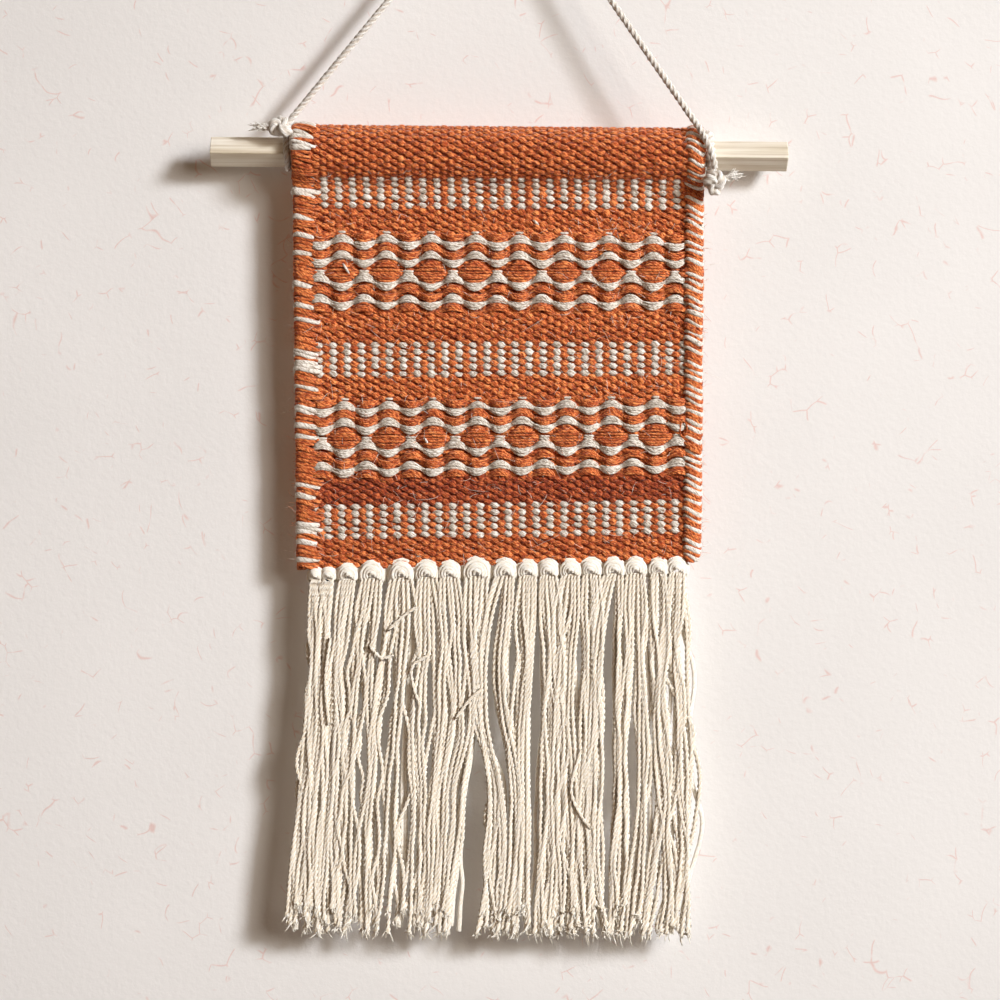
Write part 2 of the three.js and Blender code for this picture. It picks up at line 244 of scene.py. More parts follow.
class Yarns:
    """Collects tubes and turns them into one mesh."""

    def __init__(self):
        self.points, self.fibres, self.tones, self.grooves = [], [], [], []
        self.quads, self.quad_slots = [], []
        self.caps, self.cap_slots = [], []
        self.count = 0

    def add(self, paths, radius, first, sides=6, depth=None, lobes=0, lobe=0.0, lead=0.0,
            closed=False, slots=0, tone=None, taper=0.0, pinned=False):
        """paths: (n, m, 3) in mm. radius and depth: the section's half sizes along the second and the
        first direction across. lead: mm of yarn for one turn of its plies."""
        paths = np.asarray(paths, float)
        if paths.ndim == 2:
            paths = paths[None]
        n, m, _ = paths.shape
        across, aside = frames_along(paths, first, closed, pinned)
        steps = np.linalg.norm(np.diff(paths, axis=1), axis=-1)
        along = np.concatenate([np.zeros((n, 1)), np.cumsum(steps, axis=1)], axis=1)
        radius = np.broadcast_to(np.asarray(radius, float), (n, m))
        depth = radius if depth is None else np.broadcast_to(np.asarray(depth, float), (n, m))
        if taper:
            edge = np.minimum(along, along[:, -1:] - along)
            narrow = np.clip(edge / taper, TIP_SHARE, 1) ** 0.5
            radius, depth = radius * narrow, depth * narrow
        angle = TAU * np.arange(sides) / sides
        turn = TAU * along / lead if np.any(lead) else np.zeros_like(along)
        phase = angle[None, None] + turn[..., None]
        section = 1 + lobe * np.cos(lobes * angle) if lobes else np.ones(sides)
        groove = (1 - np.cos(lobes * angle)) / 2 if lobes else np.zeros(sides)
        ring = (np.cos(phase) * section * depth[..., None])[..., None] * across[:, :, None]
        ring = ring + (np.sin(phase) * section * radius[..., None])[..., None] * aside[:, :, None]
        self.points.append((paths[:, :, None] + ring).reshape(-1, 3))
        self.add_fibres(along, phase, np.maximum(radius, depth).mean())
        tones = rng.uniform(0, 1, n) if tone is None else np.broadcast_to(tone, n)
        self.tones.append(np.repeat(tones, m * sides))
        self.grooves.append(np.tile(groove, n * m))
        self.add_faces(n, m, sides, closed, slots)
        self.count += n * m * sides

    def add_fibres(self, along, phase, size):
        """Where each point lies in the fibre pattern, which winds round the yarn as it runs."""
        start = rng.uniform(0, FIBRE_SPREAD, (len(along), 1, 1, 3))
        wound = phase - FIBRE_TWIST * along[..., None] / size
        fibre = np.empty((*phase.shape, 3))
        fibre[..., 0] = along[..., None] * FIBRE_STRETCH
        fibre[..., 1] = np.cos(wound) * size
        fibre[..., 2] = np.sin(wound) * size
        self.fibres.append((fibre + start).reshape(-1, 3))

    def add_faces(self, n, m, sides, closed, slots):
        """The sides of n tubes of m rings, and the ends of those that are open."""
        last = m if closed else m - 1
        tube = np.arange(n)[:, None, None] * m * sides
        ring = np.arange(last)[None, :, None]
        corner = np.arange(sides)[None, None]
        next_ring, next_corner = (ring + 1) % m, (corner + 1) % sides
        quad = np.stack([tube + ring * sides + corner, tube + ring * sides + next_corner,
                         tube + next_ring * sides + next_corner,
                         tube + next_ring * sides + corner], axis=-1) + self.count
        self.quads.append(quad.reshape(-1, 4))
        slots = np.repeat(np.broadcast_to(np.asarray(slots), (n,)), last)
        self.quad_slots.append(np.repeat(slots, sides))
        if not closed:
            ends = np.arange(n)[:, None] * m * sides + self.count
            side = np.arange(sides)[None]
            self.caps.append(np.concatenate([ends + side[:, ::-1], ends + (m - 1) * sides + side]))
            self.cap_slots.append(np.tile(slots[::last], 2))

    def build(self, name, materials):
        """One mesh object with every tube added so far, smooth shaded."""
        mesh = bpy.data.meshes.new(name)
        points = np.concatenate(self.points) * MM
        quads = np.concatenate(self.quads)
        loops = [quads.reshape(-1)]
        starts = [np.arange(len(quads)) * 4]
        slots = [np.concatenate(self.quad_slots)]
        at = len(quads) * 4
        for cap, cap_slot in zip(self.caps, self.cap_slots):
            starts.append(at + np.arange(len(cap)) * cap.shape[1])
            loops.append(cap.reshape(-1))
            slots.append(cap_slot)
            at += cap.size
        loops, starts, slots = (np.concatenate(a) for a in (loops, starts, slots))
        mesh.vertices.add(len(points))
        mesh.vertices.foreach_set("co", points.astype(np.float32).ravel())
        mesh.loops.add(len(loops))
        mesh.loops.foreach_set("vertex_index", loops.astype(np.int32))
        mesh.polygons.add(len(starts))
        mesh.polygons.foreach_set("loop_start", starts.astype(np.int32))
        mesh.polygons.foreach_set("material_index", slots.astype(np.int32))
        mesh.polygons.foreach_set("use_smooth", np.ones(len(starts), bool))
        mesh.update(calc_edges=True)
        add_attribute(mesh, "fibre", "FLOAT_VECTOR", "vector", np.concatenate(self.fibres))
        add_attribute(mesh, "tone", "FLOAT", "value", np.concatenate(self.tones))
        add_attribute(mesh, "groove", "FLOAT", "value", np.concatenate(self.grooves))
        for material in materials:
            mesh.materials.append(material)
        return put_in_scene(name, mesh)


# ---------------------------------------------------------------- materials
def new_material(name):
    material = bpy.data.materials.new(name)
    material.use_nodes = True
    tree = material.node_tree
    return material, tree, tree.nodes["Principled BSDF"]


def add_node(tree, kind, **inputs):
    node = tree.nodes.new(kind)
    for key, value in inputs.items():
        node.inputs[key.replace("_", " ")].default_value = value
    return node


def ramp(tree, factor, stops):
    node = tree.nodes.new("ShaderNodeValToRGB")
    while len(node.color_ramp.elements) < len(stops):
        node.color_ramp.elements.new(0.5)
    for element, (place, colour) in zip(node.color_ramp.elements, stops):
        element.position, element.color = place, colour
    tree.links.new(factor, node.inputs["Fac"])
    return node.outputs["Color"]


def feed(tree, socket, value):
    """Links a socket to the output given, or else sets its value."""
    if isinstance(value, bpy.types.NodeSocket):
        tree.links.new(value, socket)
    else:
        socket.default_value = value


def blend_colours(tree, factor, first, second, mode="MIX"):
    node = tree.nodes.new("ShaderNodeMix")
    node.data_type, node.blend_type = "RGBA", mode
    for socket, value in ((node.inputs[0], factor), (node.inputs[6], first), (node.inputs[7], second)):
        feed(tree, socket, value)
    return node.outputs[2]


def multiply_add(tree, value, factor, addend):
    node = tree.nodes.new("ShaderNodeMath")
    node.operation = "MULTIPLY_ADD"
    for socket, entry in zip(node.inputs, (value, factor, addend)):
        feed(tree, socket, entry)
    return node.outputs[0]


def noise(tree, place, output="Fac", **inputs):
    node = add_node(tree, "ShaderNodeTexNoise", **inputs)
    tree.links.new(place, node.inputs["Vector"])
    return node.outputs[output]


def add_bump(tree, shader, height, strength, distance, normal=None):
    """Fine relief that follows a height; distance in metres."""
    bump = add_node(tree, "ShaderNodeBump", Strength=strength, Distance=distance)
    tree.links.new(height, bump.inputs["Height"])
    if normal is not None:
        tree.links.new(normal, bump.inputs["Normal"])
    tree.links.new(bump.outputs["Normal"], shader.inputs["Normal"])


def named_attribute(tree, name, output):
    node = tree.nodes.new("ShaderNodeAttribute")
    node.attribute_type, node.attribute_name = "GEOMETRY", name
    return node.outputs[output]


def flattened_normal(tree, even):
    """Normals of hanging strands leaned towards the hanging's faces: light passes through thin
    cotton, so that a strand is lit more evenly round its girth than a solid rod is."""
    normal = tree.nodes.new("ShaderNodeNewGeometry").outputs["Normal"]
    scaled = tree.nodes.new("ShaderNodeVectorMath")
    scaled.operation = "MULTIPLY"
    tree.links.new(normal, scaled.inputs[0])
    scaled.inputs[1].default_value = (1 - even, 1, 1 - even)
    whole = tree.nodes.new("ShaderNodeVectorMath")
    whole.operation = "NORMALIZE"
    tree.links.new(scaled.outputs[0], whole.inputs[0])
    return whole.outputs[0]


UNCHANGED, NONE = (1, 1, 1, 1), (0, 0, 0, 1)  # as a tint or a mask
SLOW_SHARE = 1.6  # weight of the slow change along a yarn against its own tone
TINT_SPREAD = 0.62
FLECK_FROM, FLECK_EDGE = 0.7, 0.06  # noise above this shows a stray fibre
YARN_RELIEF = 0.0005


def yarn_material(name, dark, mid, light, cool, warm, fleck=None, relief=0.5, contrast=0.1,
                  sheen=0.2, even=0.0, groove_shade_tint=(0.8, 0.74, 0.67, 1)):
    """Spun yarn: streaks of darker and lighter fibres run along it, each length of it leans to one
    of two tints, and stray fibres of another colour show. The grooves between its plies are
    darkened with painted shade."""
    material, tree, shader = new_material(name)
    fibre = named_attribute(tree, "fibre", "Vector")
    tone = named_attribute(tree, "tone", "Fac")
    fine = noise(tree, fibre, Scale=1.9, Detail=3.5, Roughness=0.68)
    colour = ramp(tree, fine, [(0.5 - contrast, dark), (0.5, mid), (0.5 + contrast, light)])
    slow = noise(tree, fibre, Scale=0.55, Detail=2.0)
    leaning = multiply_add(tree, slow, SLOW_SHARE, tone)
    spread = multiply_add(tree, leaning, TINT_SPREAD, -TINT_SPREAD / 2)
    shade = ramp(tree, spread, [(0.0, cool), (1.0, warm)])
    colour = blend_colours(tree, 1.0, colour, shade, "MULTIPLY")
    # painted shade: the grooves between the plies are darkened by a tint, standing in for the shade
    # that falls in them
    groove = named_attribute(tree, "groove", "Fac")
    groove_shade = ramp(tree, groove, [(0.3, UNCHANGED), (1.0, groove_shade_tint)])
    colour = blend_colours(tree, 1.0, colour, groove_shade, "MULTIPLY")
    if fleck is not None:
        stray = noise(tree, fibre, Scale=3.6, Detail=1.0)
        spot = ramp(tree, stray, [(FLECK_FROM, NONE), (FLECK_FROM + FLECK_EDGE, UNCHANGED)])
        colour = blend_colours(tree, spot, colour, fleck)
    tree.links.new(colour, shader.inputs["Base Color"])
    normal = flattened_normal(tree, even) if even else None
    add_bump(tree, shader, fine, relief, YARN_RELIEF, normal)
    shader.inputs["Roughness"].default_value = 0.9
    shader.inputs["Specular IOR Level"].default_value = 0.25
    shader.inputs["Sheen Weight"].default_value = sheen
    shader.inputs["Sheen Roughness"].default_value = 0.5
    return material


RED_TINT, YELLOW_TINT = (0.8, 0.68, 0.62, 1), (1.14, 1.26, 1.25, 1)
DULL_TINT, CLEAN_TINT = (0.88, 0.85, 0.81, 1), (1.06, 1.06, 1.07, 1)
ORANGE = yarn_material("orange_wool", srgb(112, 40, 15), srgb(202, 91, 41), srgb(250, 160, 94),
                       RED_TINT, YELLOW_TINT, fleck=srgb(252, 206, 164), relief=0.8)
RUST = yarn_material("rust_wool", srgb(86, 29, 12), srgb(158, 60, 27), srgb(212, 112, 62),
                     RED_TINT, YELLOW_TINT, fleck=srgb(240, 182, 140), relief=0.8)
WHITE = yarn_material("off_white_wool", srgb(144, 126, 108), srgb(220, 211, 199),
                      srgb(250, 246, 240), DULL_TINT, CLEAN_TINT, relief=0.6, contrast=0.12)
WRAP_WHITE = yarn_material("white_wrap_wool", srgb(160, 144, 128), srgb(232, 224, 214),
                           srgb(255, 252, 246), DULL_TINT, CLEAN_TINT, relief=0.5, contrast=0.14)
# painted shade: a darker orange for the sheet behind the picks, which shows only in the gaps between
# them
GAP_SHADE_WOOL = yarn_material("gap_shade_wool", srgb(86, 34, 16), srgb(120, 52, 26), srgb(150, 74, 40),
                       RED_TINT, YELLOW_TINT)
# the fringe cotton's ply grooves get a warm painted shade
COTTON = yarn_material("fringe_cotton", srgb(240, 228, 206), srgb(253, 248, 237),
                       srgb(255, 254, 250), (0.96, 0.94, 0.92, 1), (1.04, 1.04, 1.05, 1),
                       relief=0.25, contrast=0.16, sheen=0.15, even=0.7,
                       groove_shade_tint=(0.83, 0.74, 0.62, 1))
CORD = yarn_material("cord_cotton", srgb(178, 170, 162), srgb(230, 226, 220), srgb(250, 249, 246),
                     DULL_TINT, CLEAN_TINT, relief=0.45, contrast=0.15)
BLACK = yarn_material("black_fleck", srgb(12, 11, 12), srgb(22, 20, 20), srgb(40, 38, 36),
                      DULL_TINT, CLEAN_TINT)


def scaled(tree, place, scale):
    node = add_node(tree, "ShaderNodeMapping", Scale=scale)
    tree.links.new(place, node.inputs["Vector"])
    return node.outputs["Vector"]


PINE_RELIEF = 0.0002


def pine_material():
    """Raw softwood: long fine grain along X and a few darker streaks."""
    material, tree, shader = new_material("pine")
    place = tree.nodes.new("ShaderNodeTexCoord").outputs["Object"]
    grain = noise(tree, scaled(tree, place, (14, 520, 520)), Scale=1.0, Detail=5.0, Roughness=0.62,
                  Distortion=0.35)
    rings = noise(tree, scaled(tree, place, (9, 150, 150)), Scale=1.0, Detail=2.0, Distortion=0.8)
    base = ramp(tree, grain, [
        (0.28, srgb(190, 172, 146)), (0.45, srgb(224, 213, 195)), (0.62, srgb(238, 231, 218))])
    streak = ramp(tree, rings, [
        (0.35, (0.84, 0.8, 0.72, 1)), (0.52, UNCHANGED), (0.7, (1.03, 1.02, 0.99, 1))])
    tree.links.new(blend_colours(tree, 0.8, base, streak, "MULTIPLY"), shader.inputs["Base Color"])
    add_bump(tree, shader, grain, 0.35, PINE_RELIEF)
    shader.inputs["Roughness"].default_value = 0.62
    shader.inputs["Specular IOR Level"].default_value = 0.3
    return material


PINE = pine_material()

# ---------------------------------------------------------------- camera, lights, backdrop
VIEW_X = -1.4  # what the middle of the picture looks at
VIEW_Z = -279.9
VIEW_WIDTH = 441.0  # how wide the picture is at the cloth
VIEW_DISTANCE = 1300.0
VIEW_ROLL = math.radians(-0.5)
SENSOR = 36.0
WALL_Y = 13.2  # the wall that the sleeve's back rests against


LIGHTS = (  # name, place in metres, size, power in watts, colour and spread in degrees
    ("key", (3.69, -2.87, 1.5), 1.07, 13.2, (0.96, 0.995, 1.04), 40),
    ("soft", (1.55, -1.65, 0.3), 1.1, 6.6, (1.0, 0.94, 0.85), 90),
    ("fill", (-0.5, -1.6, 0.1), 1.8, 1.8, (1.0, 0.52, 0.2), 180),
    ("behind", (-0.6, 1.5, 0.6), 1.2, 9, (1, 1, 1), 180),
)
ROOM_COLOUR, ROOM_STRENGTH = (1.0, 0.62, 0.32, 1), 0.055


def add_camera():
    data = bpy.data.cameras.new("camera")
    data.sensor_width = SENSOR
    data.lens = SENSOR * VIEW_DISTANCE / VIEW_WIDTH
    data.clip_start, data.clip_end = 0.05, 20
    camera = put_in_scene("camera", data)
    camera.location = (VIEW_X * MM, -VIEW_DISTANCE * MM, VIEW_Z * MM)
    camera.rotation_euler = (math.pi / 2, VIEW_ROLL, 0)
    bpy.context.scene.camera = camera


def add_area_light(name, place, size, power, colour, spread):
    """A disc of light that faces the middle of the picture."""
    data = bpy.data.lights.new(name, "AREA")
    data.shape = "DISK"
    data.size, data.energy, data.color = size, power, colour
    data.spread = math.radians(spread)
    lamp = put_in_scene(name, data)
    lamp.location = place
    way = np.array((0, 0, VIEW_Z * MM)) - np.array(place, float)
    lamp.rotation_euler = (math.acos(-way[2] / np.linalg.norm(way)), 0,
                           math.atan2(way[1], way[0]) - math.pi / 2)


def add_lights():
    for light in LIGHTS:
        add_area_light(*light)
    world = bpy.data.worlds.new("studio")
    world.use_nodes = True
    background = world.node_tree.nodes["Background"]
    background.inputs["Color"].default_value = ROOM_COLOUR
    background.inputs["Strength"].default_value = ROOM_STRENGTH
    bpy.context.scene.world = world
    bpy.context.scene.view_settings.view_transform = "Standard"


def add_plane(name, corners, material):
    mesh = bpy.data.meshes.new(name)
    mesh.from_pydata(corners, [], [(0, 1, 2, 3)])
    mesh.materials.append(material)
    plane = put_in_scene(name, mesh)
    return plane


WALL_RELIEF = 0.0006
WALL_SIDE, WALL_TOP, FLOOR_Z = 3, 2, -1.4  # metres


def pulp_fibres(tree, place):
    """A mask of short curled fibres scattered in the paper."""
    cells = add_node(tree, "ShaderNodeTexVoronoi", Scale=95.0, Randomness=1.0)
    cells.feature = "DISTANCE_TO_EDGE"
    bent = noise(tree, place, "Color", Scale=30.0, Detail=2.0)
    tree.links.new(blend_colours(tree, 0.03, place, bent, "ADD"), cells.inputs["Vector"])
    line = ramp(tree, cells.outputs["Distance"], [(0.0, UNCHANGED), (0.035, NONE)])
    patches = noise(tree, place, Scale=120.0, Detail=1.0)
    short = ramp(tree, patches, [(0.6, NONE), (0.68, (0.7, 0.7, 0.7, 1))])
    return blend_colours(tree, 1.0, line, short, "MULTIPLY")


def wall_material():
    """Pale painted paper, open from behind so that it never hides the object's back."""
    material, tree, shader = new_material("wall_paint")
    place = tree.nodes.new("ShaderNodeTexCoord").outputs["Object"]
    broad = noise(tree, place, Scale=9.0, Detail=3.0)
    paint = ramp(tree, broad, [(0.3, srgb(231, 228, 226)), (0.7, srgb(236, 233, 231))])
    colour = blend_colours(tree, pulp_fibres(tree, place), paint, srgb(226, 186, 178))
    tree.links.new(colour, shader.inputs["Base Color"])
    grit = noise(tree, place, Scale=420.0, Detail=4.0, Roughness=0.6)
    add_bump(tree, shader, grit, 0.25, WALL_RELIEF)
    shader.inputs["Roughness"].default_value = 0.95
    side = tree.nodes.new("ShaderNodeNewGeometry").outputs["Backfacing"]
    clear = tree.nodes.new("ShaderNodeBsdfTransparent")
    mix = tree.nodes.new("ShaderNodeMixShader")
    tree.links.new(side, mix.inputs["Fac"])
    tree.links.new(shader.outputs["BSDF"], mix.inputs[1])
    tree.links.new(clear.outputs["BSDF"], mix.inputs[2])
    tree.links.new(mix.outputs["Shader"], tree.nodes["Material Output"].inputs["Surface"])
    return material


def add_backdrop():
    side, top, low, y = WALL_SIDE, WALL_TOP, FLOOR_Z, WALL_Y * MM
    wall = add_plane("wall", [(-side, y, low), (side, y, low), (side, y, top), (-side, y, top)],
                     wall_material())
    wall.visible_shadow = False
    floor_paint, _, shader = new_material("floor_paint")
    shader.inputs["Base Color"].default_value = srgb(214, 209, 203)
    shader.inputs["Roughness"].default_value = 0.9
    add_plane("floor", [(-side, -side, low), (side, -side, low), (side, side, low),
                        (-side, side, low)], floor_paint)


add_camera()
add_lights()
add_backdrop()

# ---------------------------------------------------------------- hanging cord
CORD_THICKNESS = 3.0
CORD_PLY_LEAD = 9.0
CORD_STEP, CORD_STEP_FINE = 0.55, 0.5
CORD_GIRTH = 0.9  # the lobed section's mean radius, as a share of half the cord's thickness
CORD_ROUTE = (  # the same points as the CAD cord's
    (-97.6, 0, -116), (-80, 0, -94.2), (-60, 0, -69.4), (-40, 0, -44.6), (-20, 0, -19.8),
    (-10, 0, -7.4), (-4.67, 0, -0.74), (-2.5, 0, 0.95), (0, 0, 1.5), (2.5, 0, 0.95),
    (4.9, 0, -1.06), (10, -0.65, -8.47), (20, -1.9, -23), (40, -4.45, -52), (60, -7, -81.1),
    (80.6, -9.6, -111), (84.9, -12.3, -117.6), (88, -14.1, -123.8), (90.2, -13.8, -129.6),
    (91.2, -12.3, -134.2),
)


def smooth_line(points, step, closed=False):
    """A Catmull-Rom line through the points, resampled every step mm."""
    p = np.array(points, float)
    if closed:
        p = np.vstack([p[-1], p, p[0], p[1]])
    else:
        p = np.vstack([2 * p[0] - p[1], p, 2 * p[-1] - p[-2]])
    t = np.linspace(0, 1, 16, endpoint=False)[:, None]
    parts = []
    for a, b, c, d in zip(p[:-3], p[1:-2], p[2:-1], p[3:]):
        parts.append(0.5 * ((2 * b) + (c - a) * t + (2 * a - 5 * b + 4 * c - d) * t**2
                            + (3 * b - a - 3 * c + d) * t**3))
    if not closed:
        parts.append(p[-2][None])
    line = np.vstack(parts + ([parts[0][:1]] if closed else []))
    length = np.concatenate([[0], np.cumsum(np.linalg.norm(np.diff(line, axis=0), axis=1))])
    count = max(int(length[-1] / step), 4)
    places = np.linspace(0, length[-1], count, endpoint=not closed)
    return np.stack([np.interp(places, length, line[:, i]) for i in range(3)], axis=1)


def add_cord_tube(yarns, path, closed=False, thickness=CORD_THICKNESS, first=(0, 1, 0.1)):
    yarns.add(path, thickness / 2 * CORD_GIRTH, first, sides=15, lobes=3, lobe=0.17, lead=CORD_PLY_LEAD,
              closed=closed, tone=0.6)


def cord_piece():
    path = smooth_line(CORD_ROUTE, CORD_STEP)
    span = Yarns()
    add_cord_tube(span, path)
    piece = span.build("hanging_cord", [CORD])
    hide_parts("cord_span")
    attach(piece, "hanger")
    length = float(np.linalg.norm(np.diff(path, axis=0), axis=1).sum())
    return piece, path, length


DOWEL_TURN = math.radians(-34)
DOWEL_LENGTH = DOWEL_HIGH[0] - DOWEL_LOW[0]
DOWEL_SIDE = (DOWEL_HIGH[2] - DOWEL_LOW[2]) / (math.cos(DOWEL_TURN) - math.sin(DOWEL_TURN))


HITCH_SQUARENESS = 5.0  # 2 would be a round turn; more follows the dowel's flats
HITCH_GAP = 0.1


def hitch_turn(x, slant, thickness):
    """One turn of cord drawn tight round the square dowel, slanted so that it reads as wound."""
    a = np.linspace(0, TAU, 70, endpoint=False)
    b = a - DOWEL_TURN
    reach = DOWEL_SIDE / 2 + thickness / 2 + HITCH_GAP
    power = HITCH_SQUARENESS
    r = reach / (np.abs(np.cos(b)) ** power + np.abs(np.sin(b)) ** power) ** (1 / power)
    return np.stack([x + slant * np.sin(a), r * np.cos(a), AXIS_Z + r * np.sin(a)], axis=1)


def tight_knot(centre, size, turn, tilt):
    """A closed line like an overhand knot pulled tight; size is its reach across and up."""
    t = np.linspace(0, TAU, 110, endpoint=False)
    p = np.stack([np.sin(t) + 2 * np.sin(2 * t), -np.sin(3 * t) * 1.1,
                  np.cos(t) - 2 * np.cos(2 * t)], axis=1)
    p = p / 3 * np.array([size[0], size[0], size[1]])
    c, s = math.cos(turn), math.sin(turn)
    p = p @ np.array([[c, 0, s], [0, 1, 0], [-s, 0, c]])
    c, s = math.cos(tilt), math.sin(tilt)
    p = p @ np.array([[1, 0, 0], [0, c, s], [0, -s, c]])
    return p + np.array(centre)


def frayed_tail(start, end, spread, count, seed):
    """Loose fibres that leave the knot together and fan out."""
    local = np.random.default_rng(seed)
    t = np.linspace(0, 1, 9)[None, :, None]
    start, end = np.array(start, float), np.array(end, float)
    fan = local.normal(0, 1, (count, 1, 3)) * spread
    curl = local.normal(0, 1, (count, 1, 3)) * spread * 0.5
    reach = local.uniform(0.6, 1.25, (count, 1, 1))
    base = local.normal(0, 0.55, (count, 1, 3))
    return start + base + (end - start) * t * reach + fan * t**1.7 + curl * np.sin(3 * t) * t


CORD_ENDS = (  # side, hitch's slant and thickness, knot's size, turn, tilt and shift, tail's seed
    ("left", -0.4, 2.8, (2.9, 3.9), 0.9, -0.5, (1.8, 0, -2.3), 11),
    ("right", -0.7, 5.2, (3.3, 3.7), 0.25, 0.5, (-1.2, 0, -1.2), 23),
)
KNOT_CORD = 4.9  # the cord swells where it is not pulled straight
TAIL_CORD = 3.1
TAIL_INSIDE, TAIL_BEYOND = 0.55, 0.12  # where the fibres part and end, from the tail's middle
TAIL_FIBRES, TAIL_FIBRE_RADIUS, TAIL_SPREAD = 60, 0.2, 1.05


def hitch_tubes(side, slant, thick):
    yarns = Yarns()
    turn_line = hitch_turn(middle_of("cord_hitch_" + side)[0], slant, thick)
    add_cord_tube(yarns, turn_line, closed=True, thickness=thick, first=(1, 0, 0))
    if side == "left":
        top = turn_line[np.argmax(turn_line[:, 2])]
        add_cord_tube(yarns, smooth_line([CORD_ROUTE[0], top], CORD_STEP))
    return yarns


def knot_tubes(centre, size, turn, tilt):
    yarns = Yarns()
    add_cord_tube(yarns, tight_knot(centre, size, turn, tilt), closed=True, thickness=KNOT_CORD,
                  first=(0.3, 1, 0.2))
    return yarns


def tail_tubes(side, knot_centre, seed):
    yarns = Yarns()
    centre = middle_of("cord_tail_" + side)
    parting = centre + (knot_centre - centre) * TAIL_INSIDE
    end = centre + (centre - knot_centre) * TAIL_BEYOND
    fibres = frayed_tail(parting, end, TAIL_SPREAD, TAIL_FIBRES, seed)
    yarns.add(fibres, TAIL_FIBRE_RADIUS, (0.2, 1, 0.1), sides=5, taper=0.8)
    add_cord_tube(yarns, smooth_line([knot_centre, parting, centre], CORD_STEP_FINE),
                  thickness=TAIL_CORD)
    return yarns


def cord_end_pieces():
    """Hitches, knots and frayed tails at both ends of the cord."""
    made = []
    for side, slant, thick, size, turn, tilt, shift, seed in CORD_ENDS:
        centre = middle_of("cord_knot_" + side) + np.array(shift)
        parts = (
            ("cord_hitch_", hitch_tubes(side, slant, thick)),
            ("cord_knot_", knot_tubes(centre, size, turn, tilt)),
            ("cord_tail_", tail_tubes(side, centre, seed)),
        )
        for prefix, yarns in parts:
            piece = yarns.build("twisted_" + prefix + side, [CORD])
            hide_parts(prefix + side)
            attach(piece, "hanger")
            made.append(piece)
    return made


cord, cord_path, cord_length = cord_piece()
cord_ends = cord_end_pieces()


# ---------------------------------------------------------------- dowel
ARRIS_RADIUS = 0.45
DOWEL_EASE = 0.25  # the drawn section is this much larger than the plain stick's
END_INSET = 0.965  # the sawn ends are worn in to this share of the section
SURFACE_WOBBLE, SAW_WOBBLE = 0.0035, 0.07  # share of the section; mm along the stick
END_RINGS = (0, 0.25, 0.9)  # close together near each end
MAIN_FROM, MAIN_RINGS = 2.5, 60


def rounded_section(side, corner, count):
    """The outline of a square with rounded corners, as (y, z) points."""
    flat = side / 2 - corner
    points = []
    for quarter in range(4):
        centre = np.array([flat, flat]) * [1 if quarter in (0, 3) else -1, 1 if quarter < 2 else -1]
        for i in range(count):
            a = math.pi / 2 * (quarter + i / (count - 1))
            points.append(centre + corner * np.array([math.cos(a), math.sin(a)]))
    return np.array(points)


def dowel_rings():
    """Rings of points along the stick, from its left end."""
    outline = rounded_section(DOWEL_SIDE + DOWEL_EASE, ARRIS_RADIUS, 5)
    c, s = math.cos(DOWEL_TURN), math.sin(DOWEL_TURN)
    outline = outline @ np.array([[c, s], [-s, c]])
    places = [*END_RINGS, *np.linspace(MAIN_FROM, DOWEL_LENGTH - MAIN_FROM, MAIN_RINGS)]
    places += [DOWEL_LENGTH - place for place in reversed(END_RINGS)]
    rings = []
    local = np.random.default_rng(3)
    for i, place in enumerate(places):
        from_end = min(i, len(places) - 1 - i)
        inset = END_INSET if from_end == 0 else 1.0
        wobble = 1 + local.normal(0, SURFACE_WOBBLE, len(outline))[:, None]
        ring = outline * inset * wobble
        x = np.full(len(ring), DOWEL_LOW[0] + place)
        if from_end < 2:
            x = x + local.normal(0, SAW_WOBBLE, len(ring))
        rings.append(np.column_stack([x, ring[:, 0], ring[:, 1] + AXIS_Z]))
    return rings


def add_dowel():
    """A square stick with slightly worn arrises and sawn ends."""
    rings = dowel_rings()
    count = len(rings[0])
    faces = []
    for r in range(len(rings) - 1):
        for k in range(count):
            a, b = r * count + k, r * count + (k + 1) % count
            faces.append((a, b, b + count, a + count))
    faces.append(tuple(reversed(range(count))))
    faces.append(tuple(range((len(rings) - 1) * count, len(rings) * count)))
    mesh = bpy.data.meshes.new("dowel_wood")
    mesh.from_pydata([tuple(p) for p in np.vstack(rings) * MM], [], faces)
    mesh.update()
    mesh.materials.append(PINE)
    stick = put_in_scene("dowel_wood", mesh)
    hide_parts("dowel")
    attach(stick, "dowel")


add_dowel()

# ---------------------------------------------------------------- woven cloth
WARPS = 54  # warp threads between the two bound edges
PICK = 1.57  # mm of cloth per weft pick
RINGS_PER_WARP = 4
WEAVE_WAVE = 0.78  # how far a pick swings out over a warp
PICK_DEPTH = 0.8
PICK_SLANT = 0.2  # how far a pick climbs or falls where it crosses between warps
FRONT_SHARE = 0.26  # how much longer a pick stays in front of the warps than behind them
PICK_HALF = 1.5  # half the height of the bump a pick makes over a warp
CREST = 0.65  # below 1, a pick's crests are broad and its crossings steep
GIRTH_VARIES, PLACE_VARIES = 0.14, 0.2  # of a pick: as a share, and in mm
FLAT_UNDER, THIN_UNDER = 0.55, 0.8  # picks that lie under the diamonds' floats
UNDER_BINDING = 2.4

# Pattern bands: heights of their middles below the dowel's axis
DOTS = (-16.6, -90.0, -162.0)
DOTS_ODD = (0, 1, 0)  # 1 where a band's dots stand over the odd warps
DOT_ROWS = 5
DIAMONDS = (-52.4, -125.2)
DIAMOND_HALF = 17.4
DIAMOND_MARGIN = 1.2
RUST_FROM, RUST_TO = -142.0, -153.5
ABOVE_FRONT = 12.0  # higher than the cloth's middle layer reaches
PIECE_CUTS = (24, 48, 72, 90)  # picks below the seam at which one piece of weave ends


def front_z(s):
    """Height of the cloth's front at s, from the dowel's axis; the sleeve's back counts as its top."""
    return np.where(s < TOP_S, ABOVE_FRONT, z_at(s))


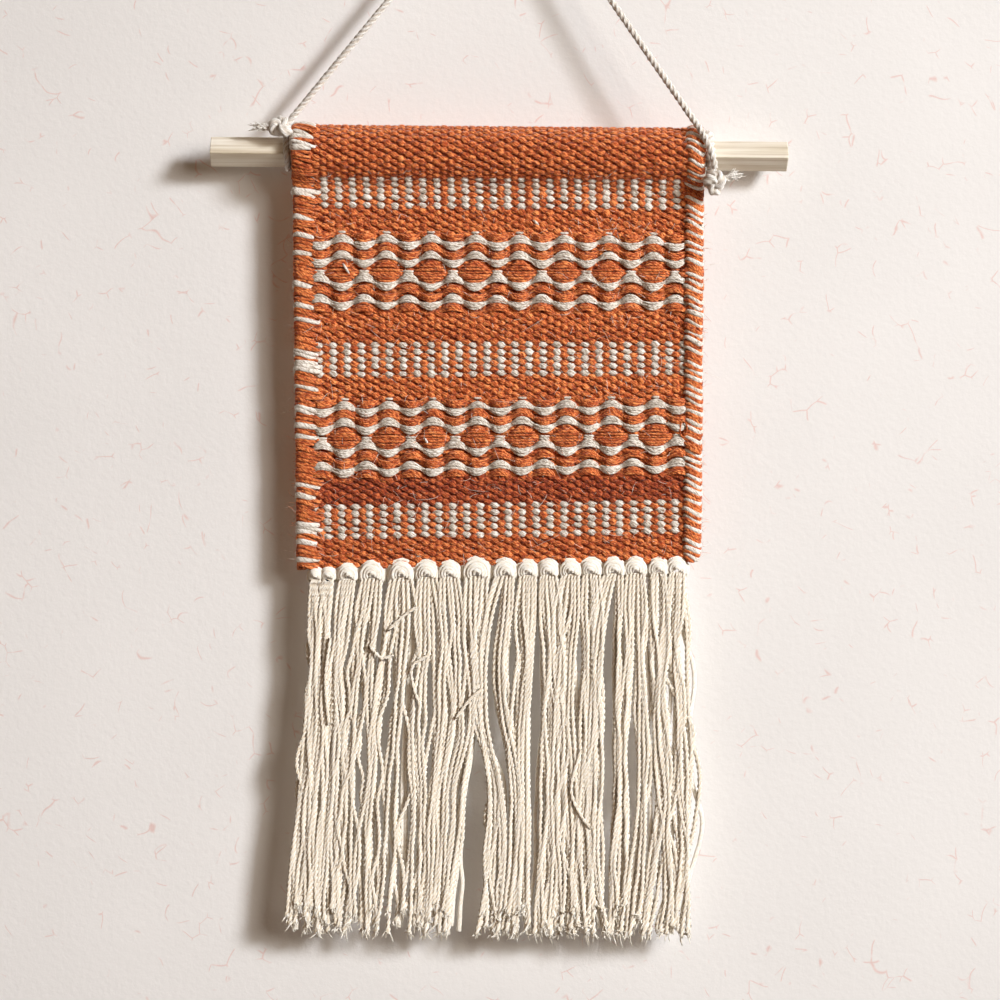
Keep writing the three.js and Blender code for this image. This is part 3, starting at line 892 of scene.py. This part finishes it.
def weave_ends(z):
    """The first and last warp's x at height z."""
    left = left_edge(z) + LEFT_WIDTH - UNDER_BINDING
    right = right_edge(z) - RIGHT_WIDTH + UNDER_BINDING
    return left, right


FIRST_PICK = float(s_at(DOTS[0])) % (2 * PICK)


def pick_colours(numbers, z):
    """0 orange, 1 white, 2 rust for each pick."""
    colours = np.zeros(len(numbers), int)
    for middle, odd in zip(DOTS, DOTS_ODD):
        centre = 2 * round(((float(s_at(middle)) - FIRST_PICK) / PICK - odd) / 2) + odd
        offset = numbers - centre
        colours[(np.abs(offset) < DOT_ROWS) & (offset % 2 == 0)] = 1
    colours[(z < RUST_FROM) & (z > RUST_TO)] = 2
    return colours


def smooth_noise(shape, every, strength):
    """Random numbers that change smoothly along the last axis."""
    rows, count = shape
    knots = rng.normal(0, strength, (rows, count // every + 3))
    places = np.arange(count) / every
    low = places.astype(int)
    share = places - low
    return knots[:, low] * (1 - share) + knots[:, low + 1] * share


def weave(yarns, numbers):
    """Weft picks over and under the warps, as a weft-faced plain weave."""
    s = numbers * PICK + FIRST_PICK
    z = front_z(s)
    rings = WARPS * RINGS_PER_WARP + 1
    warp = np.linspace(0, WARPS, rings)
    left, right = weave_ends(z)
    x = left[:, None] + (right - left)[:, None] * warp[None] / WARPS
    in_diamonds = np.zeros(len(s), bool)
    for middle in DIAMONDS:
        in_diamonds |= np.abs(z - middle) < DIAMOND_HALF - DIAMOND_MARGIN
    side = np.where(numbers % 2 == 0, 1.0, -1.0)[:, None]
    beat = np.clip(np.cos(math.pi * warp)[None] * side + FRONT_SHARE, -1, 1)
    wave = np.sign(beat) * np.abs(beat) ** CREST
    size = 1 + smooth_noise((len(s), rings), RINGS_PER_WARP, GIRTH_VARIES)
    drift = smooth_noise((len(s), rings), RINGS_PER_WARP * 3, PLACE_VARIES)
    slant = np.sin(math.pi * warp)[None] * side * PICK_SLANT
    flatten = np.where(in_diamonds, FLAT_UNDER, 1.0)[:, None]
    height = WEAVE_WAVE * flatten * (wave + FRONT_SHARE / 2)
    across = s[:, None] + drift + slant
    paths = cloth_point(x, across, height)
    bulk = 0.62 + 0.38 * np.abs(beat) ** 0.8
    radius = PICK_HALF * bulk * size * np.where(in_diamonds, THIN_UNDER, 1.0)[:, None]
    depth = PICK_DEPTH * (0.75 + 0.25 * np.abs(beat)) * size
    out = np.stack([np.zeros(len(s)), np.interp(s, PROFILE_S, PROFILE_WAY[:, 1]),
                    -np.interp(s, PROFILE_S, PROFILE_WAY[:, 0])], axis=1)
    yarns.add(paths, radius, out, sides=6, depth=depth, slots=pick_colours(numbers, z),
              pinned=True)


def weave_pieces():
    """The weave in stretches, each its own piece."""
    total = int((CLOTH_LENGTH - FIRST_PICK - 0.4) / PICK) + 1
    sleeve_end = int(s_at(SEAM_Z) / PICK)
    cuts = [0, sleeve_end // 2, sleeve_end, *(sleeve_end + cut for cut in PIECE_CUTS), total]
    made = []
    for i, (first, last) in enumerate(zip(cuts[:-1], cuts[1:])):
        yarns = Yarns()
        weave(yarns, np.arange(first, last))
        piece = yarns.build(f"weft_picks_{i + 1}", [ORANGE, WHITE, RUST])
        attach(piece, "cloth")
        made.append(piece)
    return made


GROUND_HALF = 0.35  # half the thin sheet's thickness
GROUND_INSET = 1.6  # how far its side edges stay inside the bindings
GROUND_FIBRE = 0.7  # scale of its fibre pattern


def ground_cloth():
    """The thin sheet that the picks are beaten onto, from the hem behind to the lower edge. Its
    darker orange is painted shade, seen in the gaps between the picks.
    """
    s = np.linspace(0.4, CLOTH_LENGTH - 1.0, 150)
    u = np.linspace(0, 1, 60)
    left, right = left_edge(z_at(s)) + GROUND_INSET, right_edge(z_at(s)) - GROUND_INSET
    x = left[:, None] + (right - left)[:, None] * u[None]
    front = cloth_point(x, s[:, None], GROUND_HALF).reshape(-1, 3)
    back = cloth_point(x, s[:, None], -GROUND_HALF).reshape(-1, 3)
    points = np.vstack([front, back])
    rows, columns = len(s), len(u)
    grid = np.arange(rows * columns).reshape(rows, columns)
    a, b = grid[:-1, :-1].ravel(), grid[:-1, 1:].ravel()
    c, d = grid[1:, 1:].ravel(), grid[1:, :-1].ravel()
    under = rows * columns
    faces = [*zip(a, d, c, b), *zip(a + under, b + under, c + under, d + under)]
    rim = [*grid[0], *grid[1:, -1], *grid[-1, -2::-1], *grid[-2:0:-1, 0]]
    for p, q in zip(rim, rim[1:] + rim[:1]):
        faces.append((p, q, q + under, p + under))
    mesh = bpy.data.meshes.new("ground_cloth")
    mesh.from_pydata([tuple(p) for p in points * MM], [], [tuple(int(v) for v in f) for f in faces])
    mesh.update()
    add_attribute(mesh, "fibre", "FLOAT_VECTOR", "vector", points * GROUND_FIBRE)
    mesh.attributes.new("tone", "FLOAT", "POINT")
    mesh.materials.append(GAP_SHADE_WOOL)
    sheet = put_in_scene("ground_cloth", mesh)
    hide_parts("woven_panel", "dowel_sleeve")
    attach(sheet, "cloth")
    return sheet


# ---------------------------------------------------------------- diamond bands
PERIOD = 19.6  # width of one diamond
FIRST_PEAKS = (-72.1, -70.4)
LINE_STRAND = 0.62
LINE_STRANDS = 4
LINE_STEP = 1.15
STRAND_GAP, GAP_SWELL = 0.34, 0.5  # between a line's strands where it dives, and more at a float
LINE_OUT, FLOAT_OUT, CROWN = 0.7, 1.7, 0.55  # height where a line dives, more at a float, mid-strand
# Heights at a peak and at a trough from a band's middle, colour, how much nearer the lower line lies,
# and whether the line shows only at its troughs
WAVY_LINES = (
    (14.9, 11.4, 1, 0.0, False),
    (11.4, 7.0, 0, 0.0, False),
    (7.8, 3.7, 1, 1.4, False),
    (18.2, 15.0, 0, 0.0, True),
)


def band_points(x, z, out):
    """Points on the cloth at heights z (from the dowel's axis), standing out from its middle."""
    return cloth_point(x, s_at(z), out)


def wavy_line(yarns, band, peak_x, at_peak, at_trough, slot, side, one_sided):
    """A bundle of strands that swells into a float at each peak and trough; between them the strands
    draw together and dive into the cloth."""
    left, right = weave_ends(band)
    x = np.linspace(left, right, int((right - left) / LINE_STEP))
    t = np.cos(TAU * (x - peak_x) / PERIOD)
    z = band + (at_peak + at_trough) / 2 + t * (at_peak - at_trough) / 2
    swell = np.clip(np.abs(t) / 0.95, 0, 1) ** 1.05
    if one_sided:
        swell = np.where(t < 0, swell, 0)
    out = LINE_OUT + FLOAT_OUT * swell
    gap = STRAND_GAP + GAP_SWELL * swell
    paths = []
    for i in range(LINE_STRANDS):
        place = i - (LINE_STRANDS - 1) / 2
        crown = CROWN * (1 - (2 * place / LINE_STRANDS) ** 2) * swell
        wander = smooth_noise((1, len(x)), 8, 0.16)[0]
        bulge = smooth_noise((1, len(x)), 7, 0.14)[0]
        paths.append(band_points(x, z + place * gap + wander, side * (out + crown + bulge)))
    yarns.add(np.array(paths), LINE_STRAND * (0.8 + 0.22 * swell), (0, 1, 0), sides=5, slots=slot)


def short_float(yarns, x, z, half_length, slot, side, out=2.6, radius=LINE_STRAND, arch=0.0):
    """One strand that comes out of the cloth, lies over it and goes back in."""
    t = np.linspace(-1, 1, 15)
    rise = np.clip(1 - t**4, 0, 1)
    path = band_points(x + t * half_length, z + arch * (1 - t**2), side * (out * rise - 0.5))
    yarns.add(path, radius * (0.75 + 0.25 * rise), (0, 1, 0), slots=slot)


DIAMOND_ROWS = (  # rows of a diamond from its middle, and half of each row's length
    (0, 9.3), (-1, 7.9), (1, 7.9), (-2, 6.0), (2, 6.0), (-3, 4.6), (3, 4.6), (-3.8, 2.8), (3.8, 2.8),
)
ROW_STEP, ROW_WANDER, SHORTEST_FLOAT = 0.98, 0.12, 3


def add_diamond(yarns, band, x, side):
    """Floats of shrinking length above and below a diamond's middle, cut off at the bindings."""
    left, right = weave_ends(band)
    for i, half in DIAMOND_ROWS:
        low, high = max(x - half, left), min(x + half, right)
        if high - low > SHORTEST_FLOAT:
            place = band + i * ROW_STEP + rng.normal(0, ROW_WANDER)
            short_float(yarns, (low + high) / 2, place, (high - low) / 2, 0, side,
                        out=2.2 + 0.75 * min(abs(i), 1.5) - 0.35 * max(abs(i) - 2, 0),
                        arch=0.3 * i, radius=0.68)


def diamond_band(yarns, band, peak_x, side):
    """Wavy lines mirrored about a row of orange diamonds, with white ticks between them."""
    for mirror in (1, -1):
        for peak, trough, slot, lower_lift, one_sided in WAVY_LINES:
            lift = lower_lift if mirror < 0 else 0
            wavy_line(yarns, band, peak_x, mirror * peak + lift, mirror * trough + lift, slot, side,
                      one_sided)
    left, right = weave_ends(band)
    for number in range(-1, int((right - left) / PERIOD) + 2):
        x = peak_x + number * PERIOD
        add_diamond(yarns, band, x, side)
        between = x + PERIOD / 2
        if left + 2 < between < right - 2:
            for i in (-0.55, 0.55):
                short_float(yarns, between, band + i, 2.5, 1, side, out=2.2, radius=0.6)
        if left + 2 < x < right - 2:
            short_float(yarns, x, band + 17.6, 2.1, 1, side, out=1.9, radius=0.6)


def diamond_pieces():
    made = []
    for number, (band, peak_x) in enumerate(zip(DIAMONDS, FIRST_PEAKS), start=1):
        for face, side, shift in (("front", 1, 0), ("back", -1, PERIOD / 2)):
            yarns = Yarns()
            diamond_band(yarns, band, peak_x + shift, side)
            piece = yarns.build(f"diamond_floats_{number}_{face}", [ORANGE, WHITE])
            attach(piece, "cloth")
            made.append(piece)
    return made


# ---------------------------------------------------------------- overcast edges
WRAP_RADIUS = 0.92
WRAP_STEP = 1.52
CORNER_ROUND, CORNER_SHARE = 7.0, 0.8  # the lower right corner is rounded off
WRAP_LOOKS = {  # by side: girth of white wraps; squareness; range of widths; depth of the wraps on
    # the sleeve and below it; slant and how much it varies
    -1: (1.4, 0.62, (0.8, 1.22), (1.9, 2.65), (0.26, 0.12)),
    1: (1.1, 0.75, (0.9, 1.1), (2.2, 3.1), (0.6, 0.1)),
}
LEFT_WHITE = (  # stretches of the left edge wound in white: highest and lowest, from the dowel's axis
    (10.8, 9.4), (6.6, 4.4), (2.4, 0.6), (-15.6, -19.3), (-28.6, -30.2), (-35.3, -36.9),
    (-43.2, -44.8), (-56.8, -58.4), (-66.5, -68.1), (-72.2, -73.8), (-87.0, -89.6), (-91.6, -95.0),
    (-101.8, -103.4), (-111.5, -113.1), (-118.2, -119.8), (-122.6, -124.2), (-145.0, -146.6),
    (-149.4, -151.0), (-161.6, -165.4), (-169.4, -171.0), (-176.8, -178.4),
)
RIGHT_GROUPS = (2, 3, 2, 2, 3, 3, 2, 3, 4, 2)  # every so many wraps one is white, down the right
BACK_GROUPS = (7, 5, 6)


def every_so_many(count, groups):
    """1 for the last wrap of each group, 0 for the others."""
    white = np.zeros(count, int)
    at = -1
    for i in range(count):
        at += groups[i % len(groups)]
        if at >= count:
            break
        white[at] = 1
    return white


def wrap_colours(s, side):
    groups = RIGHT_GROUPS if side > 0 else BACK_GROUPS
    white = every_so_many(len(s), groups)
    if side > 0:
        return white
    z = z_at(s)
    front = s > s_at(ABOVE_FRONT)
    in_white = np.zeros(len(s), bool)
    for high, low in LEFT_WHITE:
        in_white |= (z < high) & (z > low)
    return np.where(front, in_white.astype(int), white)


def wraps(yarns, side, s_from, s_to, width):
    """Yarn wound round the cloth's edge between two places along it. side is -1 on the left."""
    white_girth, squareness, ragged, depths, (slant, slant_varies) = WRAP_LOOKS[side]
    count = int((s_to - s_from) / WRAP_STEP)
    s = s_from + (np.arange(count) + 0.5) * (s_to - s_from) / count
    a = np.linspace(0, TAU, 26, endpoint=False)
    round_x = np.sign(np.cos(a)) * np.abs(np.cos(a)) ** 0.85
    round_y = np.sign(np.sin(a)) * np.abs(np.sin(a)) ** squareness
    inner = width * rng.uniform(*ragged, count)
    outer = rng.normal(0.1, 0.16, count)
    if side > 0:
        above = np.clip((CLOTH_LENGTH - s) / CORNER_ROUND, 0, 1)
        outer = outer - CORNER_ROUND * (1 - np.sqrt(1 - (1 - above) ** 2)) * CORNER_SHARE
    half = (inner + outer) / 2
    z = z_at(s)
    edge = left_edge(z) if side < 0 else right_edge(z)
    centre = edge - side * (inner - outer) / 2
    x = centre[:, None] + side * half[:, None] * round_x[None]
    deep = np.where(z > SEAM_Z, *depths)
    height = (deep + rng.normal(0, 0.2, count))[:, None] * round_y[None]
    lean = rng.normal(slant, slant_varies, count)
    inward = (1 - side * (x - centre[:, None]) / half[:, None]) / 2
    front = np.where(height > 0, 1.0, -1.0) * np.abs(round_y[None]) ** 0.5
    swing = -side * (lean * inner)[:, None] * (inward - 0.5) * front
    along = np.clip(s[:, None] + swing, 0.3, CLOTH_LENGTH - 0.4)
    paths = cloth_point(x, along, height)
    narrow = 1 - 0.4 * inward**2
    white = wrap_colours(s, side)
    swell = np.where(white == 1, white_girth, 1.0)
    size = WRAP_RADIUS * (swell * rng.uniform(0.88, 1.14, count))[:, None] * narrow
    yarns.add(paths, size * 0.75, (0, 0, 1), sides=7, depth=size * 1.15, closed=True,
              slots=white)


def binding_pieces():
    made = []
    seam_s = float(s_at(SEAM_Z))
    stretches = (
        ("sleeve", 0.6, seam_s, "sleeve_binding_"),
        ("edge", seam_s, CLOTH_LENGTH - 0.2, "edge_binding_"),
    )
    for name, s_from, s_to, node in stretches:
        for side, word, width in ((-1, "left", LEFT_WIDTH), (1, "right", RIGHT_WIDTH)):
            yarns = Yarns()
            wraps(yarns, side, s_from, s_to, width)
            piece = yarns.build(f"overcast_{name}_{word}", [ORANGE, WRAP_WHITE])
            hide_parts(node + word)
            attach(piece, "cloth")
            made.append(piece)
    return made


STITCH_EVERY = 3.4
STITCH_SIZE = (1.1, 1.3, 2.9)  # half sizes across, through and down
STITCH_Y, STITCH_DROP = 3.4, 1.6


def hem_piece():
    """Whip stitches that close the sleeve behind the panel."""
    low, high = box_mm("hem_seam")
    z = (low[2] + high[2]) / 2 - AXIS_Z
    count = int((high[0] - low[0]) / STITCH_EVERY)
    wide, deep, tall = STITCH_SIZE
    t = np.linspace(0, TAU, 14, endpoint=False)
    paths = []
    for i in range(count):
        x = low[0] + (i + 0.5) * (high[0] - low[0]) / count + rng.normal(0, 0.2)
        paths.append(np.stack([
            x + wide * np.sin(t), STITCH_Y + deep * np.cos(t) - ripple(x, z),
            AXIS_Z + z - STITCH_DROP + tall * np.sin(t)], axis=1))
    yarns = Yarns()
    yarns.add(np.array(paths), 0.5, (1, 0, 0), closed=True)
    piece = yarns.build("hem_stitches", [ORANGE])
    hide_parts("hem_seam")
    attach(piece, "cloth")
    return piece


# ---------------------------------------------------------------- knots and fringe
STRAND_RADIUS = 0.98
STRAND_STEP = 1.4
STEPS_PER_TURN = 6  # of a strand's plies
STRAND_LOBE = 0.2
FRINGE_END = -344.5  # where the longest strands end, from the dowel's axis
KNOT_SWELL = 0.9  # soft yarn stands out past the plain knot
KNOT_ARCHES = (1.0, 0.82, 0.62, 0.42, 0.2)  # each arch's share of the knot's half width
LAYERS = ((-1.9, 1.0, 6), (-1.1, 0.83, 5), (0.6, 1.0, 5))  # depth, spread and strands of each layer
ORDER_VARIES = 0.03
PARTING_X = -12.0  # the fringe parts here over its lower half
PARTING_PUSH = 5.2
PARTING_FROM, PARTING_OVER = 0.4, 0.25  # shares of the strands' length at which it opens
LOOSE_SHARE, LOOSE_REACH = 0.24, 5.5  # share of strands that stray, and how much further they do
KINKS = ((2.3, 0.6), (4.7, 0.26), (9.0, 0.1))  # waves down a strand, and how far they reach
UNEVEN_CUT = 13.5  # the shortest strands fall this much short
TIP_FIBRES, TIP_FIBRE_RADIUS = 8, 0.3
FLARED_RINGS = 3  # rings over which a cut end opens


def knot_piece(number):
    """The bight of a cow hitch: nested arches that make a small dome over the cloth's edge."""
    low, high = box_mm(KNOTS[number])
    centre = middle_of(KNOTS[number])
    half = (high[0] - low[0]) / 2 + KNOT_SWELL
    local = np.random.default_rng(100 + number)
    a = np.linspace(-0.5, math.pi + 0.5, 20)
    shift = local.normal(0, 0.35)
    paths = []
    for share in KNOT_ARCHES:
        wide = half * share * local.uniform(0.96, 1.04)
        bulge = 1.0 + 3.0 * math.sqrt(max(1 - share**2, 0)) + local.normal(0, 0.1)
        x = centre[0] + shift * (1 - share) - wide * np.cos(a)
        z = centre[2] + 0.7 + wide * 1.12 * np.sin(a)
        y = -bulge + 0.9 * np.cos(a) ** 2
        paths.append(np.stack([x, y - ripple(x, low[2] - AXIS_Z), z], axis=1))
    paths = np.array(paths)
    yarns = Yarns()
    yarns.add(paths, 0.86, (0, 1, 0), sides=8, tone=local.uniform(0.4, 1, len(paths)), taper=1.2)
    back = paths[:4].copy()
    back[..., 1] = 1.6 - back[..., 1] * 0.45
    back[..., 2] -= 0.9
    yarns.add(back, 0.9, (0, 1, 0), sides=7, taper=1.2)
    piece = yarns.build("cow_hitch_" + KNOTS[number][-2:], [COTTON])
    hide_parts(KNOTS[number])
    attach(piece, "cloth")
    return piece


def flank_shift(x):
    """How far the ends of the outer tassels are drawn sideways."""
    return -4.5 * max(x / 75, 0) ** 3 - 2.5 * max(-x / 85, 0) ** 6


def parted(x, t):
    """Strands pushed aside round the parting, each to the side on which it mostly hangs."""
    away = (x - PARTING_X) / 4
    low_half = t[0] > PARTING_FROM
    side = np.sign(away[:, low_half].mean(axis=1, keepdims=True) + 1e-6)
    open_at = np.clip((t - PARTING_FROM) / PARTING_OVER, 0, 1)
    open_at = open_at * open_at * (3 - 2 * open_at)
    return x + PARTING_PUSH * side * np.exp(-((away / 3.6) ** 2)) * open_at


def strand_order(layers, local):
    """Each strand's place across its tassel, from -1 to 1, and how deep it lies."""
    order, depth = [], []
    for layer_depth, spread, strands in layers:
        order += list(np.linspace(-1, 1, strands) * spread)
        depth += [layer_depth] * strands
    return np.array(order) + local.normal(0, ORDER_VARIES, len(order)), np.array(depth)[:, None]


def strand_fan(number, order, t, local):
    """Where strands lie across the fringe, if each ran evenly from its knot to its end."""
    low, high = box_mm(TASSELS[number])
    knot_low, knot_high = box_mm(KNOTS[number])
    centre_x = middle_of(KNOTS[number])[0]
    knot_half = (knot_high[0] - knot_low[0]) / 2
    lean = low[0] + high[0] - 2 * centre_x
    at_end = centre_x + lean - np.sign(lean) * 1.5 + order * (knot_half + 2.1)
    at_end = at_end + local.normal(0, 1.2, len(order)) + local.normal(0, 2.6)
    root = centre_x + order * (knot_half - 1.0)
    x = root[:, None] + (at_end - root)[:, None] * t**0.85
    x = x + flank_shift(centre_x) * t**1.5
    return x + 1.2 * order[:, None] * np.exp(-((t - 0.1) / 0.09) ** 2)


def strand_sway(x, centre_x, order, t, local):
    """Moves a tassel's strands sideways: all together, in two locks, and each alone."""
    count = len(order)
    bulge = 3.2 * max(centre_x / 75, 0) ** 3
    sway = (local.normal(0, 1.8) + bulge) * np.sin(math.pi * t)
    sway = sway + local.normal(0, 1.5) * np.sin(TAU * t)
    loose = np.where(local.uniform(0, 1, (count, 1)) < LOOSE_SHARE, LOOSE_REACH, 1.0)
    lock = (order > local.uniform(-0.5, 0.5)).astype(int)
    lock_sway = local.normal(0, 2.4, 2)[lock][:, None] * np.sin(math.pi * t**0.9)
    lock_sway = lock_sway + local.normal(0, 1.0, 2)[lock][:, None] * np.sin(TAU * 1.4 * t)
    bow = local.normal(0, 0.5, (count, 1)) * loose
    x = x + sway + lock_sway + bow * np.sin(math.pi * t**0.8)
    for waves, size in KINKS:
        phase = local.uniform(0, TAU, (count, 1))
        reach = local.normal(0, size, (count, 1)) * np.sqrt(loose)
        x = x + reach * np.sin(TAU * waves * t + phase) * np.minimum(t * 5, 1)
    return x, phase


def strand_paths(number, layers):
    """Loose strands of one tassel, from inside its knot to their cut ends."""
    centre = middle_of(KNOTS[number])
    local = np.random.default_rng(500 + number)
    length = centre[2] - AXIS_Z - FRINGE_END
    t = np.linspace(0, 1, int(length / STRAND_STEP))[None]
    order, depth = strand_order(layers, local)
    count = len(order)
    x = strand_fan(number, order, t, local)
    x, phase = strand_sway(x, centre[0], order, t, local)
    x = parted(x, t)
    settle = np.minimum(t * 7, 1)
    resting = depth + local.normal(0, 0.16, (count, 1))
    y = depth * (1 - settle) + resting * settle
    y = y + local.normal(0, 0.2, (count, 1)) * np.sin(TAU * 2.2 * t + phase) * settle
    short = local.uniform(0, 1, (count, 1)) ** 1.7 * UNEVEN_CUT
    z = centre[2] - 0.4 - t * (length - 1.0 - short)
    return np.stack([x, y, np.broadcast_to(z, x.shape)], axis=-1)


def hairs(yarns, roots, ways, lengths, radius, slot, seed):
    """Fine fibres that stand out of the yarn and curl over."""
    local = np.random.default_rng(seed)
    count = len(roots)
    t = np.linspace(0, 1, 7)[None, :, None]
    bend = local.normal(0, 0.5, (count, 1, 3))
    lengths = np.asarray(lengths)[:, None, None]
    paths = roots[:, None] + ways[:, None] * t * lengths + bend * t**2 * lengths
    yarns.add(paths, radius, (0.3, 0.4, 0.85), sides=3, slots=slot, taper=0.6)


def flare_ends(radius, steps):
    """Cut ends open a little over their last few millimetres."""
    out = np.full(steps, radius)
    out[-FLARED_RINGS:] = radius * np.linspace(1.08, 1.3, FLARED_RINGS)
    return out


def frayed_tips(yarns, paths, seed):
    """Every cut strand opens into a small brush of fibres."""
    local = np.random.default_rng(seed)
    for path in paths:
        roots = np.repeat(path[-2][None], TIP_FIBRES, axis=0) + local.normal(0, 0.4, (TIP_FIBRES, 3))
        ways = unit(path[-1] - path[-3])[None] + local.normal(0, 0.2, (TIP_FIBRES, 3))
        lengths = local.uniform(1.8, 3.4, TIP_FIBRES)
        hairs(yarns, roots, unit(ways), lengths, TIP_FIBRE_RADIUS, 0, seed + 1)


LOOSE_ENDS = (  # kinked strands lying over the fringe: (x, height from the dowel's axis) along each
    ((-37.6, -199.6), (-44.0, -204.4), (-50.3, -210.3)),
    ((-58.5, -217.0), (-53.0, -222.6), (-47.7, -221.0)),
    ((-33.0, -221.3), (-39.6, -226.5), (-38.5, -236.0), (-35.7, -243.4)),
    ((-9.3, -236.0), (-14.5, -241.0), (-20.1, -248.8)),
    ((-75.6, -214.0), (-77.6, -232.0), (-76.0, -252.0)),
    ((35.0, -262.0), (31.0, -280.0), (36.0, -292.0), (40.0, -296.5)),
)
LOOSE_OUT = 3.1  # how far they stand out from the cloth's middle layer
KNOT_X = [middle_of(name)[0] for name in KNOTS]


def loose_ends(yarns, number):
    """The kinked strands that belong to one tassel."""
    for points in LOOSE_ENDS:
        nearest = int(np.argmin([abs(x - points[0][0]) for x in KNOT_X]))
        if nearest == number:
            line = smooth_line([(x, -LOOSE_OUT, AXIS_Z + z) for x, z in points], STRAND_STEP)
            yarns.add(line, STRAND_RADIUS * 0.85, (0, 1, 0), lobes=3, lobe=STRAND_LOBE,
                      lead=STEPS_PER_TURN * STRAND_STEP)


def tassel_piece(number):
    yarns = Yarns()
    layers = LAYERS if number > 0 else LAYERS[:2]
    paths = strand_paths(number, layers)
    paths[..., 1] -= ripple(paths[..., 0], LOW_MID_Z) * np.linspace(1, 0, paths.shape[1])[None]
    front = LAYERS[0][2] + LAYERS[1][2]
    shown, hidden = paths[:front], paths[front:, ::2]
    step = np.linalg.norm(np.diff(shown, axis=1), axis=-1).mean(axis=1, keepdims=True)
    yarns.add(shown, flare_ends(STRAND_RADIUS, shown.shape[1])[None], (0, 1, 0), lobes=3,
              lobe=STRAND_LOBE, lead=STEPS_PER_TURN * step)
    if len(hidden):
        yarns.add(hidden, flare_ends(STRAND_RADIUS, hidden.shape[1])[None], (0, 1, 0), sides=5)
    frayed_tips(yarns, shown, 900 + 2 * number)
    loose_ends(yarns, number)
    piece = yarns.build("fringe_" + TASSELS[number], [COTTON])
    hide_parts(TASSELS[number])
    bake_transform(piece)
    return piece


# ---------------------------------------------------------------- stray fibres
EDGE_HAIRS, FACE_HAIRS = 150, 1400  # on each edge, and on the front
EDGE_HAIRS_TOP, FACE_HAIRS_TOP = -26.0, -6.0  # low enough to stay clear of the cord's ends
FACE_HAIRS_LEFT, FACE_HAIRS_RIGHT = -86, 75
HAIRS_END = 2  # they stop this far from the lower edge


def edge_hairs(yarns, local, side):
    """Short fibres along one overcast edge."""
    count = EDGE_HAIRS
    s = local.uniform(s_at(EDGE_HAIRS_TOP), CLOTH_LENGTH - HAIRS_END, count)
    x = (left_edge(z_at(s)) if side < 0 else right_edge(z_at(s))) + side * 0.4
    roots = cloth_point(x, s, local.normal(0, 1.2, count))
    ways = unit(np.stack([np.full(count, side * 1.0), local.normal(-0.2, 0.4, count),
                          local.normal(0, 0.5, count)], axis=1))
    slots = (local.uniform(0, 1, count) < 0.5).astype(int)
    hairs(yarns, roots, ways, local.gamma(2.0, 0.7, count) + 0.5, 0.06, slots, 50 + side)


def face_hairs(yarns, local):
    """Fibres that stand up from the front."""
    count = FACE_HAIRS
    x = local.uniform(FACE_HAIRS_LEFT, FACE_HAIRS_RIGHT, count)
    s = local.uniform(s_at(FACE_HAIRS_TOP), CLOTH_LENGTH - HAIRS_END, count)
    roots = cloth_point(x, s, 2.1)
    ways = unit(np.stack([local.normal(0, 1, count), local.normal(-0.35, 0.15, count),
                          local.normal(0, 0.8, count)], axis=1))
    slots = (local.uniform(0, 1, count) < 0.6).astype(int)
    hairs(yarns, roots, ways, local.gamma(2.2, 1.0, count) + 0.8, 0.085, slots, 60)


def fuzz_piece():
    local = np.random.default_rng(41)
    yarns = Yarns()
    edge_hairs(yarns, local, -1)
    edge_hairs(yarns, local, 1)
    face_hairs(yarns, local)
    piece = yarns.build("stray_fibres", [ORANGE, WRAP_WHITE])
    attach(piece, "cloth")
    return piece


TICKS = (  # white ticks, from and to, as x and height from the dowel's axis
    ((-71.6, -48.4), (-68.6, -53.2)),
    ((-34.9, -124.8), (-33.4, -127.4)),
    ((12.0, -29.2), (14.6, -31.4)),
)
LOOP_X, LOOP_Z, LOOP_WIDE, LOOP_TALL = 79.0, -122.0, 1.5, 3.6
FLECK = ((-1.1, -4.7, -0.4), (-0.2, -5.0, -1.0), (0.8, -4.8, -1.3))  # from a knot's middle


def slub_piece():
    """Small things that caught in the making: white ticks, an orange loop and a dark fleck."""
    yarns = Yarns()
    t = np.linspace(0, 1, 7)
    for begin, end in TICKS:
        x = begin[0] + (end[0] - begin[0]) * t
        s = s_at(begin[1] + (end[1] - begin[1]) * t)
        path = cloth_point(x, s, 2.7 + 0.9 * np.sin(math.pi * t))
        yarns.add(path, 0.62, (0, 1, 0), slots=1, taper=1.6)
    a = np.linspace(0, TAU, 22, endpoint=False)
    loop = cloth_point(LOOP_X + LOOP_WIDE * np.cos(a), s_at(LOOP_Z + LOOP_TALL * np.sin(a)),
                       3.0 + 0.4 * np.sin(a))
    yarns.add(loop, 0.4, (0, 1, 0), closed=True, slots=0)
    yarns.add(middle_of(KNOTS[1]) + np.array(FLECK), 0.5, (0, 1, 0), slots=2, taper=0.5)
    piece = yarns.build("slubs_and_flecks", [ORANGE, WRAP_WHITE, BLACK])
    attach(piece, "cloth")
    return piece


weave_made = weave_pieces()
diamond_made = diamond_pieces()
bindings_made = binding_pieces()
hem_made = hem_piece()
knots_made = [knot_piece(i) for i in range(len(KNOTS))]
tassels_made = [tassel_piece(i) for i in range(len(TASSELS))]
fuzz_made = fuzz_piece()
slubs_made = slub_piece()
cloth = ground_cloth()
